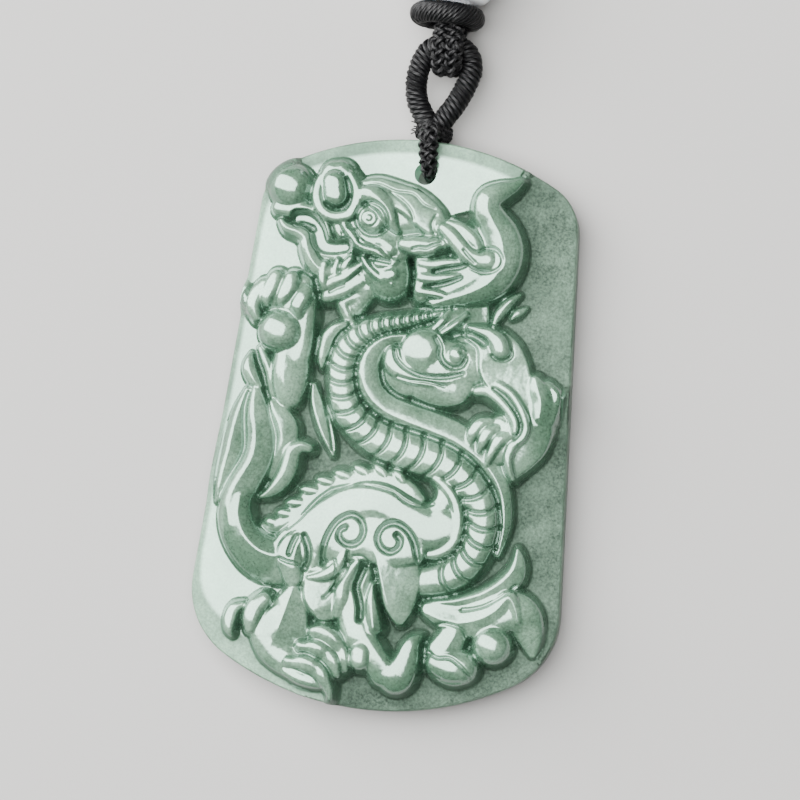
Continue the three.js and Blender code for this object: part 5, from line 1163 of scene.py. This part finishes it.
def cutter(name, outline, z_low, z_high, turn=None):
    """A closed prism to cut the plaque with, from an outline of (x, y)."""
    outline = np.array(outline)
    low = np.column_stack([outline, np.full(len(outline), z_low)])
    high = np.column_stack([outline, np.full(len(outline), z_high)])
    body = np.vstack([low, high])
    if turn is not None:
        body = turn(body)
    here = np.arange(len(outline))
    there = np.roll(here, -1)
    sides = np.stack([here, there, there + len(outline), here + len(outline)], axis=-1).tolist()
    mesh = bpy.data.meshes.new(name)
    mesh.from_pydata((body * MM).tolist(), [], sides + [here[::-1].tolist(), (here + len(outline)).tolist()])
    tool = bpy.data.objects.new(name, mesh)
    bpy.context.scene.collection.objects.link(tool)
    return tool


angles = np.arange(HOLE_SIDES) * 2 * math.pi / HOLE_SIDES
hole_outline = np.column_stack([
    HOLE_X + HOLE_DIAMETER / 2 * np.cos(angles),
    HOLE_Y + HOLE_DIAMETER / 2 * np.sin(angles),
])
angles = np.linspace(0, math.pi, HOLE_SIDES // 2)
notch_outline = np.vstack([
    [(HOLE_X - HOLE_DIAMETER / 2, -1), (HOLE_X + HOLE_DIAMETER / 2, -1)],
    np.column_stack([HOLE_X + HOLE_DIAMETER / 2 * np.cos(angles), LEG_REAR_Z + HOLE_DIAMETER / 2 * np.sin(angles)]),
])
hole_tool = cutter("hole_cutter", hole_outline, -1, 10)
notch_tool = cutter("notch_cutter", notch_outline, -HOLE_Y, -PLAQUE_TOP - 1, lambda body: body[:, (0, 2, 1)] * (1, -1, 1))


def finished(piece, *tools):
    """Thins the mesh to the triangles that it needs, cuts it with each tool, and applies both."""
    thin = piece.modifiers.new("thin", "DECIMATE")
    thin.ratio = TRIANGLES / (2 * len(piece.data.polygons))
    for tool in tools:
        cut = piece.modifiers.new("cut", "BOOLEAN")
        cut.operation = "DIFFERENCE"
        cut.solver = "MANIFOLD"
        cut.object = tool
    graph = bpy.context.evaluated_depsgraph_get()
    piece.data = bpy.data.meshes.new_from_object(piece.evaluated_get(graph))
    piece.modifiers.clear()
    for tool in tools:
        bpy.data.objects.remove(tool)


finished(plaque, hole_tool, notch_tool)
plaque_mesh = plaque.data

# marks on the face: how deep it lies below what surrounds it and how steep it is, which set
# where shade is painted into its colour, and where it is left frosted
count = len(plaque_mesh.vertices)
spots = np.empty(count * 3)
plaque_mesh.vertices.foreach_get("co", spots)
spots = spots.reshape(-1, 3) / MM
slope_y, slope_x = np.gradient(heights_mm, FIELD_STEP * UNIT_Y, FIELD_STEP * UNIT_X)
steep = 1 - 1 / np.sqrt(1 + slope_x ** 2 + slope_y ** 2)
hollow_near = softened(heights_mm, 8) - heights_mm
hollow_wide = softened(heights_mm, 120) - heights_mm
frost = softened(frosted & (heights < FROSTED_LEVEL + FROST_REACH), 3)
on_face = spots[:, 2] > sampled(heights_mm, spots[:, 0], spots[:, 1]) - 0.3
marks = {"hollow near": hollow_near, "hollow wide": hollow_wide, "frost": frost, "steep": steep}
for label, field in marks.items():
    values = np.where(on_face, sampled(field.astype(float), spots[:, 0], spots[:, 1]), 0)
    plaque_mesh.attributes.new(label, "FLOAT", "POINT").data.foreach_set("value", values.astype(np.float32))

# the carved face takes its normals from the carving itself, so that thinning leaves no trace
plaque_mesh.shade_smooth()
plaque_mesh.set_sharp_from_angle(angle=math.radians(50))
corners = np.empty(len(plaque_mesh.loops), np.int32)
plaque_mesh.loops.foreach_get("vertex_index", corners)
flat = np.empty(len(plaque_mesh.polygons) * 3)
plaque_mesh.polygons.foreach_get("normal", flat)
centre = np.empty(len(plaque_mesh.polygons) * 3)
plaque_mesh.polygons.foreach_get("center", centre)
sides = np.empty(len(plaque_mesh.polygons), np.int32)
plaque_mesh.polygons.foreach_get("loop_total", sides)
from_bore = np.hypot(*(centre.reshape(-1, 3)[:, :2] / MM - (HOLE_X, HOLE_Y)).T)
# the faces of the bore's wall, which are painted a lit green and made to glow
painted_bore_glow = (from_bore < HOLE_DIAMETER / 2 + 0.02) & (np.abs(flat.reshape(-1, 3)[:, 2]) < 0.5)
plaque_mesh.attributes.new("painted_bore_glow", "FLOAT", "FACE").data.foreach_set("value", painted_bore_glow.astype(np.float32))
inward = np.repeat(centre.reshape(-1, 3) / MM, sides, axis=0) - spots[corners]
pull = np.minimum(0.25, CORNER_PULL / np.maximum(np.linalg.norm(inward, axis=1), 1e-6))
read_at = spots[corners] + inward * pull[:, None]
carved = np.column_stack([
    -sampled(slope_x, read_at[:, 0], read_at[:, 1]),
    -sampled(slope_y, read_at[:, 0], read_at[:, 1]),
    np.ones(len(corners)),
])
carved /= np.linalg.norm(carved, axis=1)[:, None]
agrees = (carved * np.repeat(flat.reshape(-1, 3), sides, axis=0)).sum(axis=1) > SAME_SIDE
plaque_mesh.normals_split_custom_set((carved * (agrees & on_face[corners])[:, None]).tolist())

# Jade: clouds of deeper and milkier green, with light that sinks in a little. Shade is painted
# into its colour, darker in creases and hollows, on the ground beside tall forms and on steep
# sides, and the bore's wall is painted a lit green that glows a little. The frosted ground
# keeps a fine grain and no shine.
clouding, taken, given = new_group(
    "Jade clouding",
    [("Size", "NodeSocketFloat", 90), ("Pale", "NodeSocketColor", None), ("Deep", "NodeSocketColor", None)],
    [("Color", "NodeSocketColor")],
)
cloud = clouding.nodes.new("ShaderNodeTexNoise")
cloud.inputs["Detail"].default_value = 5
cloud.inputs["Roughness"].default_value = 0.6
clouding.links.new(taken.outputs["Size"], cloud.inputs["Scale"])
place = clouding.nodes.new("ShaderNodeTexCoord")
clouding.links.new(place.outputs["Object"], cloud.inputs["Vector"])
veil = clouding.nodes.new("ShaderNodeMapRange")
veil.inputs["From Min"].default_value = 0.4
veil.inputs["From Max"].default_value = 0.6
clouding.links.new(cloud.outputs["Fac"], veil.inputs["Value"])
cloud_mix = clouding.nodes.new("ShaderNodeMix")
cloud_mix.data_type = "RGBA"
clouding.links.new(veil.outputs["Result"], cloud_mix.inputs["Factor"])
clouding.links.new(taken.outputs["Pale"], cloud_mix.inputs["A"])
clouding.links.new(taken.outputs["Deep"], cloud_mix.inputs["B"])
clouding.links.new(cloud_mix.outputs["Result"], given.inputs["Color"])

jade, tree, shader = new_material(
    "pale green jade", IOR=1.66, Specular_Tint=(0.72, 1, 0.84, 1), Subsurface_Weight=0.06, Subsurface_Scale=0.0006)
shader.inputs["Subsurface Radius"].default_value = (0.55, 1.0, 0.7)
look = place_group(tree, clouding, Size=110, Pale=(0.1, 0.165, 0.115, 1), Deep=(0.036, 0.07, 0.044, 1))


def ramp(tree, value, low, high):
    """A value's place between two others, from 0 to 1."""
    node = tree.nodes.new("ShaderNodeMapRange")
    node.inputs["From Min"].default_value = low
    node.inputs["From Max"].default_value = high
    tree.links.new(value, node.inputs["Value"])
    return node.outputs["Result"]


def tinted(tree, base, factor, colour):
    """The base colour drawn towards another by a factor."""
    node = tree.nodes.new("ShaderNodeMix")
    node.data_type = "RGBA"
    tree.links.new(factor, node.inputs["Factor"])
    tree.links.new(base, node.inputs["A"])
    node.inputs["B"].default_value = colour
    return node.outputs["Result"]


# painted shade: darker in creases and hollows, and on the ground beside tall forms where their shadows would fall
depth = link_math(tree, "MAXIMUM", ramp(tree, mark_socket(tree, "hollow near"), 0.0, 0.35),
                  ramp(tree, mark_socket(tree, "hollow wide"), 0.05, 1.1))
colour = tinted(tree, look.outputs["Color"], link_math(tree, "MULTIPLY", depth, 0.85), (0.014, 0.03, 0.018, 1))
# painted shade: the colour is darkened on steep sides, as they turn away from the light above
colour = tinted(tree, colour, link_math(tree, "MULTIPLY", ramp(tree, mark_socket(tree, "steep"), 0.04, 0.45), 0.8),
                (0.022, 0.05, 0.031, 1))
coords = tree.nodes.new("ShaderNodeTexCoord")
fleck = tree.nodes.new("ShaderNodeTexNoise")
tree.links.new(coords.outputs["Object"], fleck.inputs["Vector"])
fleck.inputs["Scale"].default_value = 3600
fleck.inputs["Detail"].default_value = 3
fleck.inputs["Roughness"].default_value = 0.7
patch = tree.nodes.new("ShaderNodeTexNoise")
tree.links.new(coords.outputs["Object"], patch.inputs["Vector"])
patch.inputs["Scale"].default_value = 300
patch.inputs["Detail"].default_value = 5
patch.inputs["Roughness"].default_value = 0.7
frost_mark = mark_socket(tree, "frost")
colour = tinted(tree, colour, link_math(tree, "MULTIPLY", frost_mark, 0.75), (0.032, 0.049, 0.036, 1))
speckle = tree.nodes.new("ShaderNodeMix")
speckle.data_type = "RGBA"
speckle.blend_type = "MULTIPLY"
speckle.inputs["Factor"].default_value = 1
tree.links.new(colour, speckle.inputs["A"])
strength = link_math(tree, "MULTIPLY_ADD", frost_mark, 0.15, 0.6)
centred = link_math(tree, "SUBTRACT", ramp(tree, fleck.outputs["Fac"], 0.35, 0.65), 0.5)
patchy = link_math(tree, "SUBTRACT", ramp(tree, patch.outputs["Fac"], 0.35, 0.65), 0.55)
mottled = link_math(tree, "MULTIPLY_ADD", link_math(tree, "MULTIPLY", patchy, frost_mark), 0.75, 1)
tree.links.new(link_math(tree, "MULTIPLY_ADD", centred, strength, mottled), speckle.inputs["B"])
colour = speckle.outputs["Result"]
# the rim's rounding is duller than the face: how near the place is to the outline's arcs and sides
level_place = tree.nodes.new("ShaderNodeVectorMath")
level_place.operation = "MULTIPLY"
level_place.inputs[1].default_value = (1, 1, 0)
tree.links.new(coords.outputs["Object"], level_place.inputs[0])
axes = tree.nodes.new("ShaderNodeSeparateXYZ")
tree.links.new(coords.outputs["Object"], axes.inputs["Vector"])


def inside_arc(tree, place, radius, centre_y):
    """How far inside one of the outline's arcs a place lies."""
    node = tree.nodes.new("ShaderNodeVectorMath")
    node.operation = "DISTANCE"
    node.inputs[1].default_value = (0, centre_y * MM, 0)
    tree.links.new(place, node.inputs[0])
    return link_math(tree, "SUBTRACT", radius * MM, node.outputs["Value"])


lean = math.hypot(1, SIDE_TAPER)
inside = link_math(tree, "MULTIPLY_ADD", link_math(tree, "ABSOLUTE", axes.outputs["X"]), -1 / lean,
                   link_math(tree, "MULTIPLY_ADD", axes.outputs["Y"], -SIDE_TAPER / lean, PLAQUE_WIDTH / 2 / lean * MM))
for radius, hand in ((TOP_ARC_RADIUS, 1), (BOTTOM_ARC_RADIUS, -1)):
    arc = inside_arc(tree, level_place.outputs["Vector"], radius, hand * (PLAQUE_HEIGHT / 2 - radius))
    inside = link_math(tree, "SMOOTH_MIN", inside, arc, 4.5 * MM)
rim_mark = link_math(tree, "MULTIPLY", ramp(tree, inside, 0.9 * MM, 0.45 * MM),
                     ramp(tree, axes.outputs["Z"], 6.6 * MM, 5.9 * MM))
# painted light: the bore's wall is tinted a lit green and made to glow a little, in place of light coming through the
# jade
painted_bore_glow = mark_socket(tree, "painted_bore_glow")
colour = tinted(tree, colour, painted_bore_glow, (0.3, 0.62, 0.42, 1))
tree.links.new(colour, shader.inputs["Base Color"])
shader.inputs["Emission Color"].default_value = (0.3, 0.62, 0.42, 1)
tree.links.new(link_math(tree, "MULTIPLY", painted_bore_glow, 0.3), shader.inputs["Emission Strength"])
dull = link_math(tree, "MAXIMUM", frost_mark, link_math(tree, "MULTIPLY", rim_mark, 0.8))
tree.links.new(link_math(tree, "MULTIPLY_ADD", dull, 0.4, 0.15), shader.inputs["Roughness"])
tree.links.new(link_math(tree, "MULTIPLY_ADD", dull, -0.93, 1), shader.inputs["Specular IOR Level"])
grain = tree.nodes.new("ShaderNodeTexNoise")
tree.links.new(coords.outputs["Object"], grain.inputs["Vector"])
grain.inputs["Scale"].default_value = 3200
grain.inputs["Detail"].default_value = 4
ripple = tree.nodes.new("ShaderNodeTexNoise")
tree.links.new(coords.outputs["Object"], ripple.inputs["Vector"])
ripple.inputs["Scale"].default_value = 700
ripple.inputs["Detail"].default_value = 2
bump = tree.nodes.new("ShaderNodeBump")
bump.inputs["Distance"].default_value = 0.00009
tree.links.new(link_math(tree, "MULTIPLY_ADD", grain.outputs["Fac"], frost_mark,
                         link_math(tree, "MULTIPLY", ripple.outputs["Fac"], 0.5)), bump.inputs["Height"])
tree.links.new(bump.outputs["Normal"], shader.inputs["Normal"])
plaque_mesh.materials.clear()
plaque_mesh.materials.append(jade)
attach(plaque, "root")
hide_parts("jade_plaque")


# The floor and the light: a plain pale floor and one wide soft light above and to the
# left, which the polished ground mirrors.
FLOOR_SIZE = 1.6
floor_mesh = bpy.data.meshes.new("floor")
floor_mesh.from_pydata(
    [(-FLOOR_SIZE, -FLOOR_SIZE, 0), (FLOOR_SIZE, -FLOOR_SIZE, 0), (FLOOR_SIZE, FLOOR_SIZE, 0), (-FLOOR_SIZE, FLOOR_SIZE, 0)],
    [], [(0, 1, 2, 3)])
paper, tree, shader = new_material("pale floor", Base_Color=(0.22, 0.217, 0.21, 1), Roughness=0.85)
floor_mesh.materials.append(paper)
floor = bpy.data.objects.new("floor", floor_mesh)
floor.location.z = -0.00005
bpy.context.scene.collection.objects.link(floor)


def add_light(name, place, aim, size, power, turn=0):
    lamp = bpy.data.lights.new(name, "AREA")
    lamp.shape = "RECTANGLE"
    lamp.size, lamp.size_y = size
    lamp.energy = power
    light = bpy.data.objects.new(name, lamp)
    place = Vector(place)
    facing = (place - Vector(aim)).to_track_quat("Z", "Y").to_matrix().to_4x4()
    light.matrix_world = Matrix.Translation(place) @ facing @ Matrix.Rotation(math.radians(turn), 4, "Z")
    bpy.context.scene.collection.objects.link(light)


add_light("wide softbox", (-0.345, 0.2, 0.53), (0.015, 0.17, 0.01), (0.75, 1.7), 72, -9)
world = bpy.data.worlds.new("studio")
world.use_nodes = True
world.node_tree.nodes["Background"].inputs["Color"].default_value = (0.9, 0.93, 0.95, 1)
world.node_tree.nodes["Background"].inputs["Strength"].default_value = 0.06
bpy.context.scene.world = world
